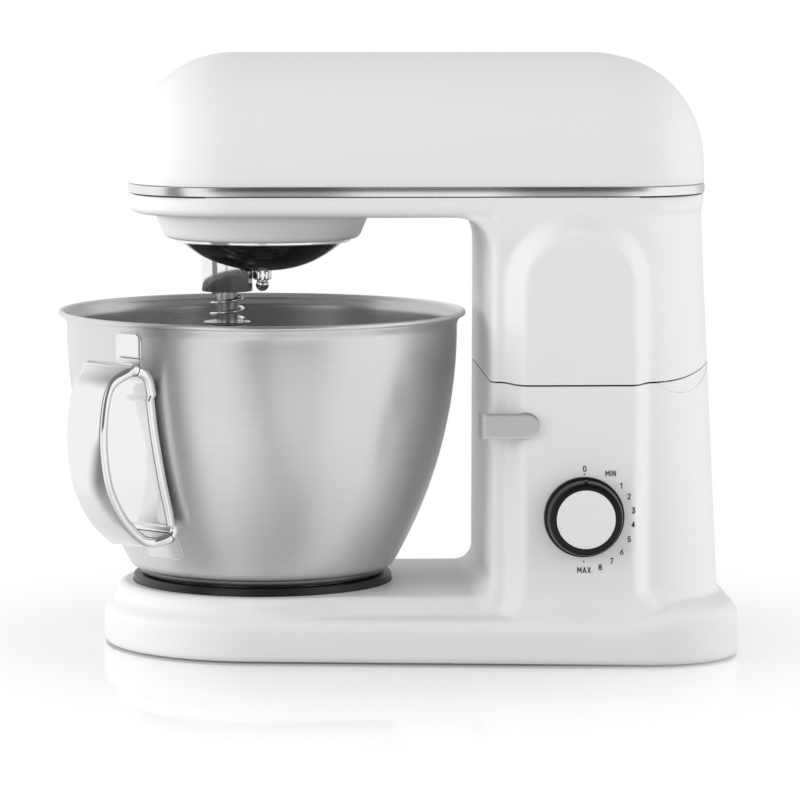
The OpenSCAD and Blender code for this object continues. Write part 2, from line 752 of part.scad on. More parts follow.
module trim_band() {
    color("silver") translate([0, 0, band_z]) linear_extrude(band_h) difference() {
        round_rect(tip_x - band_proud, back_x + band_proud, head_half_w + band_proud,
                   head_corner_r + band_proud);
        round_rect(tip_x + wall, back_x - wall, head_half_w - wall, head_corner_r - wall);
    }
}

module head_tray_profile() {
    // upright wall with a round lower edge
    r = head_lower_r;
    x1 = head_corner_r;
    difference() {
        union() {
            translate([x1 - r, head_under_z + r]) square([r, band_z - head_under_z - r]);
            translate([x1 - r, head_under_z + r]) circle(r);
            translate([0, head_under_z]) square([x1 - r, r]);
            translate([x1 - 2 * r, head_under_z + r]) square([r, eps]);
        }
        translate([-1, floor_z]) square([x1 - r + 1, 60]);
        translate([-1, band_z]) square([x1 + 2, 60]);
        translate([x1 - r - eps, head_under_z + r]) circle(r - wall);
        translate([x1 - r - eps, head_under_z + r]) square([r - wall + eps, 60]);
    }
}

module head_housing() {
    color("whitesmoke") difference() {
        union() {
            ring_sweep(tip_x, back_x, head_half_w, head_corner_r) head_tray_profile();
            translate([tip_x + head_corner_r - eps, -head_half_w + head_corner_r - eps, head_under_z])
                cube([back_x - tip_x - 2 * head_corner_r + 2 * eps,
                      2 * (head_half_w - head_corner_r) + 2 * eps, wall]);
            // tilting half of the column
            translate([0, 0, seam_z + move_gap]) linear_extrude(floor_z - seam_z - move_gap)
                intersection() {
                    column_plan(0);
                    translate([-400, -200]) square([400 + hinge_x, 400]);
                }
            translate([0, 0, hinge_z]) linear_extrude(floor_z - hinge_z) column_plan(0);
            intersection() {
                translate([hinge_x, 0, hinge_z]) rotate([90, 0, 0])
                    cylinder(h = 200, r = barrel_r, center = true);
                translate([0, 0, seam_z - 20]) linear_extrude(60) column_plan(0);
            }
            arched_panel(seam_z + move_gap);
            across(-column_half_w + column_front_r + 4, column_half_w - column_front_r - 4)
                translate([front_x + 6 - fillet_r, head_under_z + 0.5 - fillet_r]) difference() {
                    square([fillet_r + 2, fillet_r + 0.5]);
                    circle(fillet_r - 0.2);
                }
            translate([bowl_x, 0, collar_low_z]) cylinder(h = collar_h + 1, r1 = collar_low_r, r2 = collar_top_r);
        }
        // hollow of the collar and of the column
        translate([bowl_x, 0, collar_low_z - 1]) cylinder(h = collar_h + 20, r = ring_r);
        translate([0, 0, seam_z + move_gap + wall])
            linear_extrude(head_under_z - 1 - seam_z - move_gap - wall) difference() {
            column_plan(-wall);
            translate([hinge_x - barrel_r - 1, -column_half_w]) square([60, 2 * column_half_w]);
        }
        translate([0, 0, hinge_z + 12]) linear_extrude(head_under_z - 1 - hinge_z - 12) intersection() {
            column_plan(-wall);
            translate([hinge_x - barrel_r - 2, -column_half_w]) square([60, 2 * column_half_w]);
        }
        translate([motor_axis_x, 0, head_under_z - 2]) cylinder(h = 20, r = stator_r + move_gap);
        translate([0, 0, head_under_z - 2]) linear_extrude(20) intersection() {
            column_plan(-wall);
            square([2 * floor_window_x, 2 * floor_window_y], center = true);
        }
        // hinge core and the slots in which the tongues swing
        translate([hinge_x, 0, hinge_z]) rotate([90, 0, 0]) cylinder(h = 2 * tongue_y + 16, r = core_r, center = true);
        translate([hinge_x - core_r, -tongue_y - 8, hinge_z]) cube([2 * core_r, 2 * tongue_y + 16, 14]);
        translate([hinge_x - barrel_r - 3, -tongue_y + tongue_t / 2, hinge_z + 8 - eps])
            cube([barrel_r, 2 * tongue_y - tongue_t, 6]);
        for (s = [-1, 1]) translate([hinge_x, s * tongue_y, hinge_z]) rotate([90, 0, 0])
            linear_extrude(tongue_t + 2 * move_gap, center = true) slot_shape();
        for (p = frame_screw_places) translate([p[0], p[1], head_under_z - 1]) cylinder(h = 20, r = screw_r, $fn = 24);
        translate([striker_x - 9.3, striker_y - 5.3, seam_z - 1]) cube([3.6, 10.6, wall + 4]);
    }
}

core_r = 11;
floor_window_x = 138;
floor_window_y = 46;
tilt_max = 40;

// Space that a tongue of the hinge bracket needs while the head tilts
module slot_shape() {
    union() {
        circle(tongue_r + move_gap);
        for (a = [0 : tilt_max / 4 : tilt_max]) rotate(a)
            translate([-tongue_r - move_gap, -barrel_r - 6]) square([2 * (tongue_r + move_gap), barrel_r + 6]);
    }
}

module collar_ring() {
    color("silver") translate([bowl_x, 0, 0]) rotate_extrude() difference() {
        translate([carrier_r + 0.7, ring_low_z]) square([ring_r - carrier_r - 0.7, ring_drop + 6]);
        translate([ring_r, ring_low_z]) rotate(45) square(1, center = true);
    }
}

// Outline of the gear frame and its screws
frame_half_w = collar_top_r - 1.5;
frame_nose_r = collar_top_r + 0.5;
frame_tail = 20;
screw_to_stator = 42;
frame_screw_y = frame_half_w - 6;
frame_screw_x = [collar_top_r - 19.5, motor_x - stator_r - screw_to_stator];
frame_screw_places = [for (x = frame_screw_x, s = [1, -1]) [bowl_x + x, s * frame_screw_y]];

module gear_frame() {
    color("darkgray") difference() {
        union() {
            translate([0, 0, floor_z]) linear_extrude(frame_t) union() {
                translate([bowl_x, 0]) circle(frame_nose_r);
                translate([bowl_x, -frame_half_w]) square([motor_x + frame_tail, 2 * frame_half_w]);
            }
            translate([bowl_x, 0, frame_top_z - 1]) cylinder(h = 9, r = bearing_r + 5);
            translate([idler_x, 0, frame_top_z - 1]) cylinder(h = 9, r = idler_shaft_r + 5);
            for (x = [-46, 60], s = [-1, 1]) translate([bowl_x + x, s * 24, frame_top_z - 1])
                cylinder(h = 6, r = 5, $fn = 32);
        }
        translate([bowl_x, 0, floor_z - 1]) cylinder(h = 40, r = bearing_r);
        translate([idler_x, 0, floor_z - 1]) cylinder(h = 40, r = idler_shaft_r + run_fit);
        translate([motor_axis_x, 0, floor_z - 1]) cylinder(h = 40, r = stator_r);
        for (p = frame_screw_places) translate([p[0], p[1], floor_z - 1]) cylinder(h = 20, r = screw_r, $fn = 24);
    }
}

module frame_screws() {
    color("silver") for (p = frame_screw_places) translate([p[0], p[1], 0]) union() {
        translate([0, 0, frame_top_z]) cylinder(h = 2.5, r = 4, $fn = 32);
        translate([0, 0, head_under_z + 0.5]) cylinder(h = frame_top_z - head_under_z, r = screw_r, $fn = 24);
    }
}

module ring_gear() {
    color("dimgray") translate([bowl_x, 0, floor_z - ring_gear_h]) linear_extrude(ring_gear_h) difference() {
        circle(ring_teeth * planet_module / 2 + 7);
        rotate(180) gear_outline(ring_teeth, planet_module, planet_module * 1.25, planet_module * 0.8, 1 + backlash);
    }
}

module shaft_bearings() {
    color("silver") translate([bowl_x, 0, 0]) union() for (z = [floor_z, frame_top_z + 2.5])
        translate([0, 0, z]) rotate_extrude() difference() {
            translate([shaft_r + run_fit, 0]) square([bearing_r - shaft_r - run_fit, 5.5]);
            translate([(bearing_r + shaft_r) / 2, 5.5]) circle(1.4, $fn = 24);
        }
}

module motor_stator() {
    color("peru") translate([motor_axis_x, 0, 0]) difference() {
        union() {
            translate([0, 0, stator_low_z]) cylinder(h = stator_high_z - stator_low_z, r = stator_r);
            translate([0, 0, frame_top_z]) cylinder(h = 4, r = stator_r + 6);
        }
        translate([0, 0, stator_low_z + 8]) cylinder(h = stator_high_z - stator_low_z - 12, r = rotor_r + move_gap);
        translate([0, 0, stator_low_z + 2]) cylinder(h = 100, r = motor_shaft_r + run_fit);
    }
}

module motor_rotor() {
    color("silver") translate([motor_axis_x, 0, 0]) union() {
        translate([0, 0, stator_low_z + 12]) cylinder(h = stator_high_z - stator_low_z - 22, r = rotor_r);
        translate([0, 0, stator_low_z + 4]) cylinder(h = shaft_top_z - stator_low_z - 4, r = motor_shaft_r);
    }
}

module pulley(r, shaft) {
    difference() {
        union() {
            translate([0, 0, belt_z - 1]) cylinder(h = belt_h + 2, r = r - 0.35);
            for (z = [belt_z - 2.4, belt_z + belt_h + 0.6]) translate([0, 0, z]) cylinder(h = 1.8, r = r + belt_t + 1);
        }
        translate([0, 0, belt_z - 4]) cylinder(h = belt_h + 10, r = shaft);
    }
}

module motor_pulley() {
    color("gray") translate([motor_axis_x, 0, 0]) pulley(motor_belt_r, motor_shaft_r);
}

module idler_shaft() {
    color("silver") translate([idler_x, 0, floor_z]) cylinder(h = shaft_top_z - floor_z, r = idler_shaft_r);
}

module idler_pulley() {
    color("gray") translate([idler_x, 0, 0]) pulley(idler_belt_r, idler_shaft_r);
}

module idler_pinion() {
    color("darkkhaki") translate([idler_x, 0, gear_z - 1]) linear_extrude(gear_h + 2) difference() {
        rotate(180 / pinion_teeth)
            gear_outline(pinion_teeth, drive_module, drive_module * 0.9, drive_module * 1.2, 1 - backlash);
        circle(idler_shaft_r);
    }
}

module drive_belt() {
    color("black") translate([0, 0, belt_z]) linear_extrude(belt_h) difference() {
        belt_outline(idler_x, idler_belt_r + belt_t, motor_axis_x, motor_belt_r + belt_t);
        belt_outline(idler_x, idler_belt_r, motor_axis_x, motor_belt_r);
    }
}

module head_bracket() {
    color("slategray") difference() {
        union() {
            translate([hinge_x, 0, hinge_z]) rotate([90, 0, 0])
                cylinder(h = 2 * tongue_y - tongue_t - 2 * move_gap, r = core_r, center = true);
            translate([hinge_x - core_r, -tongue_y + tongue_t / 2 + move_gap, hinge_z])
                cube([2 * core_r, 2 * tongue_y - tongue_t - 2 * move_gap, 12]);
            translate([hinge_x - 30, -tongue_y + tongue_t / 2 + move_gap, hinge_z + 8])
                cube([30, 2 * tongue_y - tongue_t - 2 * move_gap, 4]);
        }
        translate([hinge_x, 0, hinge_z]) rotate([90, 0, 0])
            cylinder(h = 200, r = hinge_pin_r + run_fit, center = true);
    }
}

// ---------------------------------------------------------------- planetary drive

nut_h = 5;
nut_flats = 10;
stud_r = 3;

module drive_shaft() {
    color("silver") translate([bowl_x, 0, 0]) union() {
        translate([0, 0, ring_low_z - 6]) cylinder(h = shaft_top_z - ring_low_z, r = shaft_r);
        translate([0, 0, dome_low_z - 8]) cylinder(h = 20, r = stud_r, $fn = 32);
    }
}

module driven_gear() {
    color("darkkhaki") translate([bowl_x, 0, gear_z]) linear_extrude(gear_h) difference() {
        gear_outline(gear_teeth, drive_module, drive_module * 0.9, drive_module * 1.2, 1 - backlash);
        circle(shaft_r);
    }
}

module planet_carrier() {
    color("black") difference() {
        translate([bowl_x, 0, 0]) union() {
            translate([0, 0, ring_low_z]) cylinder(h = carrier_top_z - ring_low_z, r = carrier_r);
            intersection() {
                translate([0, 0, dome_low_z + dome_r]) sphere(dome_r, $fn = 180);
                translate([0, 0, dome_low_z - 1]) cylinder(h = dome_h + 1 + eps, r = carrier_r);
            }
        }
        translate([bowl_x, 0, ring_low_z - 6]) cylinder(h = 40, r = shaft_r);
        translate([bowl_x, 0, dome_low_z - 10]) cylinder(h = 30, r = stud_r, $fn = 32);
        translate([spindle_x, 0, ring_low_z - 4]) cylinder(h = 40, r = spindle_r + run_fit);
        translate([spindle_x, 0, dome_low_z - 10]) cylinder(h = ring_low_z - 4 - dome_low_z + 10 + eps, r = sleeve_r);
    }
}

module cap_nut() {
    color("silver") translate([bowl_x, 0, dome_low_z - nut_h]) difference() {
        union() {
            rotate(30) cylinder(h = nut_h, r = nut_flats / 2 / cos(30), $fn = 6);
            translate([0, 0, -2]) cylinder(h = 2.5, r = nut_flats / 2 - 0.4);
            translate([0, 0, -2]) sphere(nut_flats / 2 - 0.4);
        }
        translate([0, 0, -3]) cylinder(h = 20, r = stud_r, $fn = 32);
    }
}

module spindle_sleeve() {
    color("silver") translate([spindle_x, 0, sleeve_low_z]) difference() {
        cylinder(h = ring_low_z - 4 - sleeve_low_z, r = sleeve_r);
        translate([0, 0, -1]) cylinder(h = 60, r = spindle_r + 4);
        translate([0, 0, -1]) cylinder(h = 3, r = sleeve_r - 1.2);
    }
}

tool_play = 4;
pin_z = washer_z - 20;

module beater_spindle() {
    color("silver") difference() {
        translate([spindle_x, 0, washer_z - 30]) cylinder(h = planet_z + planet_h - washer_z + 30, r = spindle_r);
        translate([spindle_x, 0, pin_z]) rotate([90, 0, 0]) cylinder(h = 40, r = 1.5, center = true, $fn = 24);
    }
}

module planet_pinion() {
    color("darkkhaki") translate([spindle_x, 0, planet_z]) linear_extrude(planet_h) difference() {
        gear_outline(planet_teeth, planet_module, planet_module * 0.9, planet_module * 1.2, 1 - backlash);
        circle(spindle_r);
    }
}

module spindle_pin() {
    color("silver") translate([spindle_x, 0, pin_z]) rotate([90, 0, 0])
        cylinder(h = 2 * spindle_r + 5, r = 1.5, center = true, $fn = 24);
}

module spindle_spring() {
    turns = 3.5;
    steps = 14;
    z0 = washer_z + 1.4 + spring_wire_r;
    z1 = sleeve_low_z + 5;
    color("silver") path_tube([for (i = [0 : turns * steps]) let (t = i / (turns * steps), a = i * 360 / steps)
        [spindle_x + (9.4 - 2.2 * t) * cos(a), (9.4 - 2.2 * t) * sin(a), z0 + t * (z1 - z0)]], spring_wire_r, 8);
}

module spindle_washer() {
    color("gainsboro") translate([spindle_x, 0, washer_z]) difference() {
        cylinder(h = 1.2, r = washer_r);
        translate([0, 0, -1]) cylinder(h = 4, r = spindle_r + 0.3);
    }
}

hub_r = 11;
hub_h = 34;
beater_top_z = washer_z - hub_h + 8;

// Side view of the flat beater's outline, shrunk by g
module beater_shape(g) {
    w = beater_half_w - g;
    low_r = 30 - g;
    intersection() {
        union() {
            translate([0, beater_low_z + 62]) circle(w, $fn = 96);
            translate([0, beater_low_z + g + low_r]) circle(low_r + 4);
            polygon([[-w, beater_low_z + 62], [-low_r - 2, beater_low_z + 22], [low_r + 2, beater_low_z + 22],
                     [w, beater_low_z + 62]]);
        }
        translate([-60, beater_low_z + g]) square([120, beater_top_z - beater_low_z - 2 * g]);
    }
}

module flat_beater() {
    color("silver") difference() {
        union() {
            translate([spindle_x, 0, 0]) across(-beater_t / 2, beater_t / 2) difference() {
                beater_shape(0);
                beater_shape(9);
            }
            translate([spindle_x, 0, 0]) across(-beater_t / 2 + 1, beater_t / 2 - 1) intersection() {
                beater_shape(4);
                union() {
                    translate([-3, beater_low_z]) square([6, beater_top_z - beater_low_z]);
                    translate([0, beater_low_z + 52]) rotate(30) translate([-60, -3]) square([120, 6]);
                    translate([0, beater_low_z + 52]) rotate(-30) translate([-60, -3]) square([120, 6]);
                }
            }
            translate([spindle_x, 0, washer_z - hub_h]) cylinder(h = hub_h - eps, r = hub_r);
        }
        translate([spindle_x, 0, washer_z - 30 - tool_play]) cylinder(h = 60, r = spindle_r + 0.2);
        translate([spindle_x, 0, pin_z - 3 - tool_play]) cylinder(h = 6 + tool_play, r = spindle_r + 3.4);
    }
}

// ---------------------------------------------------------------- bowl

bowl_low_z = seat_top_z + 0.4;

// Outer side view of the bowl's wall: a flat arc from the bottom edge to the rim
bowl_wall_h = rim_z - rim_roll_r - 6 - bowl_low_z;
bowl_chord = norm([bowl_top_r - bowl_low_r, bowl_wall_h]);
bowl_chord_a = atan2(bowl_wall_h, bowl_top_r - bowl_low_r);
bowl_arc_c = [(bowl_top_r + bowl_low_r) / 2, bowl_low_z + bowl_wall_h / 2]
    + sqrt(bowl_wall_curve * bowl_wall_curve - bowl_chord * bowl_chord / 4)
      * [-sin(bowl_chord_a), cos(bowl_chord_a)];

module bowl_side(g) {
    // region inside the wall, its arc drawn in by g
    intersection() {
        translate(bowl_arc_c) circle(bowl_wall_curve - g, $fn = 720);
        translate([0, bowl_low_z]) square([bowl_top_r - g, bowl_wall_h]);
    }
}

module bowl() {
    color("silver") translate([bowl_x, 0, 0]) rotate_extrude($fn = 120) union() {
        difference() {
            bowl_side(0);
            translate([0, bowl_t]) bowl_side(bowl_t);
            translate([-1, bowl_low_z + bowl_wall_h - eps]) square([bowl_top_r + 2, 10]);
        }
        translate([bowl_top_r - bowl_t, bowl_low_z + bowl_wall_h - 0.5]) polygon([
            [0, 0], [bowl_t, 0], [rim_out - rim_roll_r + 0.2, 5], [rim_out - rim_roll_r + 0.2, 6.5],
            [0, 1.5]]);
        translate([rim_r - rim_roll_r, rim_z - rim_roll_r]) circle(rim_roll_r, $fn = 32);
    }
}

module bowl_foot() {
    color("silver") translate([bowl_x, 0, 0]) union() {
        rotate_extrude() translate([foot_ring_r - 3, seat_floor_z + 1]) square([3, bowl_low_z - seat_floor_z - 1]);
        for (a = [30, 150, 270]) rotate([0, 0, a]) translate([0, 0, seat_floor_z + 1]) intersection() {
            difference() {
                cylinder(h = ledge_z - seat_floor_z - 2, r = foot_ring_r + 4);
                translate([0, 0, -1]) cylinder(h = 20, r = foot_ring_r - 1);
            }
            translate([0, -11, 0]) cube([80, 22, 20]);
        }
    }
}

// Radius of the bowl's outside at height z
function bowl_r_at(z) = bowl_arc_c[0] + sqrt(bowl_wall_curve * bowl_wall_curve - pow(z - bowl_arc_c[1], 2));

// The inner strap clears the bulge of the wall by this much at its ends
strap_off = 4.5;
grip_r = 44;

// Side view of the handle's loop, drawn in by g
module handle_loop(g) {
    out = handle_reach;
    hull() {
        translate([out - 16, handle_high_z - 16]) circle(16 - g, $fn = 48);
        translate([out - grip_r, handle_low_z + grip_r + 8]) intersection() {
            circle(grip_r - g, $fn = 72);
            translate([10, -grip_r]) square(grip_r);
        }
        translate([bowl_r_at(handle_low_z + 8) + strap_off + 8, handle_low_z + 8]) circle(8 - g, $fn = 32);
        translate([bowl_r_at(handle_high_z - 6) + strap_off + 6, handle_high_z - 6]) circle(6 - g, $fn = 32);
    }
}

// Space just outside the bowl's wall between two heights
module beside_bowl(z0, z1) {
    translate([0, 0, z0]) cylinder(h = z1 - z0, r1 = bowl_r_at(z0) + 0.5, r2 = bowl_r_at(z1) + 0.5);
}

module bowl_handle() {
    tab_high = handle_high_z + 12;
    tab_low = handle_low_z - 5;
    color("silver") translate([bowl_x, 0, 0]) rotate([0, 0, handle_angle]) union() {
        across(-handle_w / 2, handle_w / 2) difference() {
            handle_loop(0);
            handle_loop(handle_t);
        }
        difference() {
            across(-handle_w / 2, handle_w / 2) polygon([
                [bowl_r_at(handle_high_z - 10) - 4, handle_high_z - 10],
                [bowl_r_at(handle_high_z - 10) + strap_off + 2, handle_high_z - 10],
                [bowl_r_at(handle_high_z) + strap_off + 3, handle_high_z - 1],
                [bowl_r_at(tab_high) + 2.2, tab_high], [bowl_r_at(tab_high) - 4, tab_high]]);
            beside_bowl(handle_high_z - 12, tab_high + 1);
        }
        difference() {
            across(-handle_w / 2, handle_w / 2) polygon([
                [bowl_r_at(tab_low) - 6, tab_low], [bowl_r_at(tab_low) + 2, tab_low],
                [bowl_r_at(handle_low_z + 8) + strap_off + 5, handle_low_z + 1],
                [bowl_r_at(handle_low_z + 12) + strap_off + 1.5, handle_low_z + 12],
                [bowl_r_at(handle_low_z + 12) - 6, handle_low_z + 12]]);
            beside_bowl(tab_low - 1, handle_low_z + 7);
            beside_bowl(handle_low_z + 7 - eps, handle_low_z + 13);
        }
    }
}

// ---------------------------------------------------------------- all pieces

base_housing();
bottom_plate();
feet();
bottom_screws();
bowl_seat();
seat_screws();
dial_ring();
speed_pot();
control_board();
cord_gland();
hinge_bracket();
hinge_pin();
lever_bush();
head_cover();
trim_band();
head_housing();
collar_ring();
gear_frame();
frame_screws();
ring_gear();
shaft_bearings();
motor_stator();
drive_belt();
head_bracket();
latch_striker();
motor_rotor();
motor_pulley();
idler_shaft();
idler_pulley();
idler_pinion();
drive_shaft();
driven_gear();
planet_carrier();
cap_nut();
spindle_sleeve();
beater_spindle();
planet_pinion();
spindle_pin();
spindle_spring();
spindle_washer();
flat_beater();
bowl();
bowl_handle();
bowl_foot();
dial_knob();
dial_cap();
dial_shaft();
release_lever();
lever_pin();
latch_hook();
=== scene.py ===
import json
import math

import bmesh
import bpy
import numpy as np
from mathutils import Matrix, Vector


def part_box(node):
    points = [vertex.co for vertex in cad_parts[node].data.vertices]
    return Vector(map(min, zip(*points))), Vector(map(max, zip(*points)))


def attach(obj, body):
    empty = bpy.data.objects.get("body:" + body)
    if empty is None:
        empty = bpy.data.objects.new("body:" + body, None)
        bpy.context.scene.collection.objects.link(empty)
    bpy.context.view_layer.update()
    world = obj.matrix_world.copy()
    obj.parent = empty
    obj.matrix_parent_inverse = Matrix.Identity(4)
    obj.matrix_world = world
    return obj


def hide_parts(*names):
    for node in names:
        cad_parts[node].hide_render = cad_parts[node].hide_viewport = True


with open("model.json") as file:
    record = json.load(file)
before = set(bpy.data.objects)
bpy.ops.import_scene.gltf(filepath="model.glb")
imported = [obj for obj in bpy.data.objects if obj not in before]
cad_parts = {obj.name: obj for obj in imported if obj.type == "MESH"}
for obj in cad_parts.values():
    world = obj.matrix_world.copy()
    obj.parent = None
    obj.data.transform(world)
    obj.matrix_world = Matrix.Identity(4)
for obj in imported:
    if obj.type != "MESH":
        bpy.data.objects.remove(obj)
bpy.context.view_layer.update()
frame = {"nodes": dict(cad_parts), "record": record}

MM = 0.001


# ------------------------------------------------------------------ places


def span(node):
    """Lowest and highest corner of a CAD node in millimetres."""
    low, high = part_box(node)
    return Vector(low) / MM, Vector(high) / MM


def middle_of(node):
    """Middle of a CAD node: x, y and z in millimetres."""
    return [(low + high) / 2 for low, high in zip(*span(node))]


def radius_of(node):
    """Half the width of a CAD node along x."""
    low, high = span(node)
    return (high.x - low.x) / 2


cover_low, cover_high = span("head_cover")
band_low, band_high = span("trim_band")
base_low, base_high = span("base_housing")
bowl_low, bowl_high = span("bowl")
seat_low, seat_high = span("bowl_seat")
ring_low, ring_high = span("collar_ring")
washer_low, washer_high = span("spindle_washer")
beater_low, beater_high = span("flat_beater")

BOWL_X, _, _ = middle_of("bowl")
SPINDLE_X, _, _ = middle_of("spindle_washer")
MOTOR_X, _, _ = middle_of("motor_pulley")
PANEL_X, _, DIAL_Z = middle_of("dial_knob")
LEVER_X, _, LEVER_Z = middle_of("lever_pin")
HINGE_X, _, HINGE_Z = middle_of("hinge_pin")
STRIKER_X, STRIKER_Y, _ = middle_of("latch_striker")

TIP_X, BACK_X = cover_low.x, cover_high.x
HEAD_HALF_W, HEAD_TOP = cover_high.y, cover_high.z
HEAD_CORNER_R = 57.0
BAND_LOW, BAND_TOP = band_low.z, band_high.z
HEAD_UNDER_Z = 238.5
COLLAR_LOW_Z, COLLAR_R = 223.5, 59.5
RING_Z = ring_low.z + 2.1

BASE_NOSE_R = BOWL_X - base_low.x
BASE_REAR_X = base_high.x
BASE_HALF_W, BASE_CORNER_R = 108.0, 50.0
SHOULDER_Z, SHOULDER_RISE = 24.0, 6.0
PLATFORM_Z, PLATFORM_R, PLATFORM_HALF_W = 34.0, 80.0, 75.0
SEAT_R = seat_high.x - BOWL_X

FRONT_X = BOWL_X + 121.0
COLUMN_HALF_W, COLUMN_LEAN = 74.0, 0.045
COLUMN_FRONT_R, COLUMN_REAR_R = 5.0, 47.0
WIDEN_Z, WIDEN_H = 196.0, 42.0
PANEL_Y = 87.0
ARCH_X, ARCH_TOP_Z, ARCH_R = PANEL_X - 2.6, 236.0, 34.6
ARCH_FLARE_Z, ARCH_FLARE_H = 41.0, 17.0
SEAM_Z = 149.0
BARREL_R = 19.1
STEP = 1.8

RIM_R = radius_of("bowl")
WALL_CURVE = 260.0
WALL_TOP_R, WALL_LOW_R = RIM_R - 4.8, SEAT_R - 2.0
WALL_LOW_Z, WALL_TOP_Z = bowl_low.z, bowl_high.z - 8.2
HANDLE_ANGLE = math.radians(-133)


# ------------------------------------------------------------------ camera


def set_camera():
    """Long lens, a little above the table and slightly towards the bowl."""
    azimuth, elevation, roll = math.radians(-3.2), math.radians(6.015), math.radians(0.11)
    distance, aim = 2.3848, Vector((0.0034, 0.0, 0.133))
    back = Vector((math.sin(azimuth) * math.cos(elevation),
                   -math.cos(azimuth) * math.cos(elevation), math.sin(elevation)))
    data = bpy.data.cameras.new("camera")
    data.lens = 193.5
    data.clip_start, data.clip_end = 0.1, 50
    camera = bpy.data.objects.new("camera", data)
    camera.location = aim + back * distance
    camera.rotation_mode = "QUATERNION"
    level = (-back).to_track_quat("-Z", "Y")
    camera.rotation_quaternion = level @ Matrix.Rotation(roll, 3, "Z").to_quaternion()
    bpy.context.scene.collection.objects.link(camera)
    bpy.context.scene.camera = camera


set_camera()


# ------------------------------------------------------------------ shapes as fields


def all_of(first, *others):
    """Inside every one of the shapes."""
    for shape in others:
        first = np.maximum(first, shape)
    return first


def any_of(first, *others):
    """Inside one of the shapes at least."""
    for shape in others:
        first = np.minimum(first, shape)
    return first


def block(a, b, centre_a, centre_b, half_a, half_b):
    """Distance to a rectangle in the plane of two directions."""
    return np.maximum(np.abs(a - centre_a) - half_a, np.abs(b - centre_b) - half_b)


def from_bowl(x, y):
    """Distance from the bowl's axis."""
    return np.hypot(x - BOWL_X, y)


def from_hinge(x, z):
    """Distance from the hinge's axis."""
    return np.hypot(x - HINGE_X, z - HINGE_Z)


def round_and(a, b, r):
    """Inside both a and b, with a round edge of radius r."""
    return np.minimum(np.maximum(a, b), -r) + np.hypot(np.maximum(a + r, 0), np.maximum(b + r, 0))


def round_or(a, b, r):
    """Inside a or b, with a hollow fillet of radius r where they meet."""
    return np.maximum(np.minimum(a, b), r) - np.hypot(np.maximum(r - a, 0), np.maximum(r - b, 0))


def smooth_step(t):
    """Soft rise from 0 to 1 while t runs from 0 to 1."""
    t = np.clip(t, 0, 1)
    return t * t * t * (t * (6 * t - 15) + 10)


def rounded_box_plan(x, y, x0, x1, half_w, r):
    """Distance in plan to a rectangle with round corners."""
    qx = np.abs(x - (x0 + x1) / 2) - (x1 - x0) / 2 + r
    qy = np.abs(y) - half_w + r
    return np.hypot(np.maximum(qx, 0), np.maximum(qy, 0)) + np.minimum(np.maximum(qx, qy), 0) - r


def wedge_plan(x, y, a, ra, b, rb):
    """Distance in plan to two circles of different size and the straight sides between them."""
    px, py = x - a[0], y - a[1]
    bx, by = b[0] - a[0], b[1] - a[1]
    h = bx * bx + by * by
    qx = np.abs(px * by - py * bx) / h
    qy = (px * bx + py * by) / h
    d = ra - rb
    cx, cy = math.sqrt(max(h - d * d, 0)), d
    k = cx * qy - cy * qx
    m = cx * qx + cy * qy
    n = qx * qx + qy * qy
    return np.where(k < 0, np.sqrt(h * n) - ra,
                    np.where(k > cx, np.sqrt(h * np.maximum(n + 1 - 2 * qy, 0)) - rb, m - ra))


def capsule(x, z, x0, z0, x1, z1, r):
    """Distance in the side view to a bar with round ends."""
    dx, dz = x1 - x0, z1 - z0
    t = np.clip(((x - x0) * dx + (z - z0) * dz) / (dx * dx + dz * dz), 0, 1)
    return np.hypot(x - x0 - t * dx, z - z0 - t * dz) - r


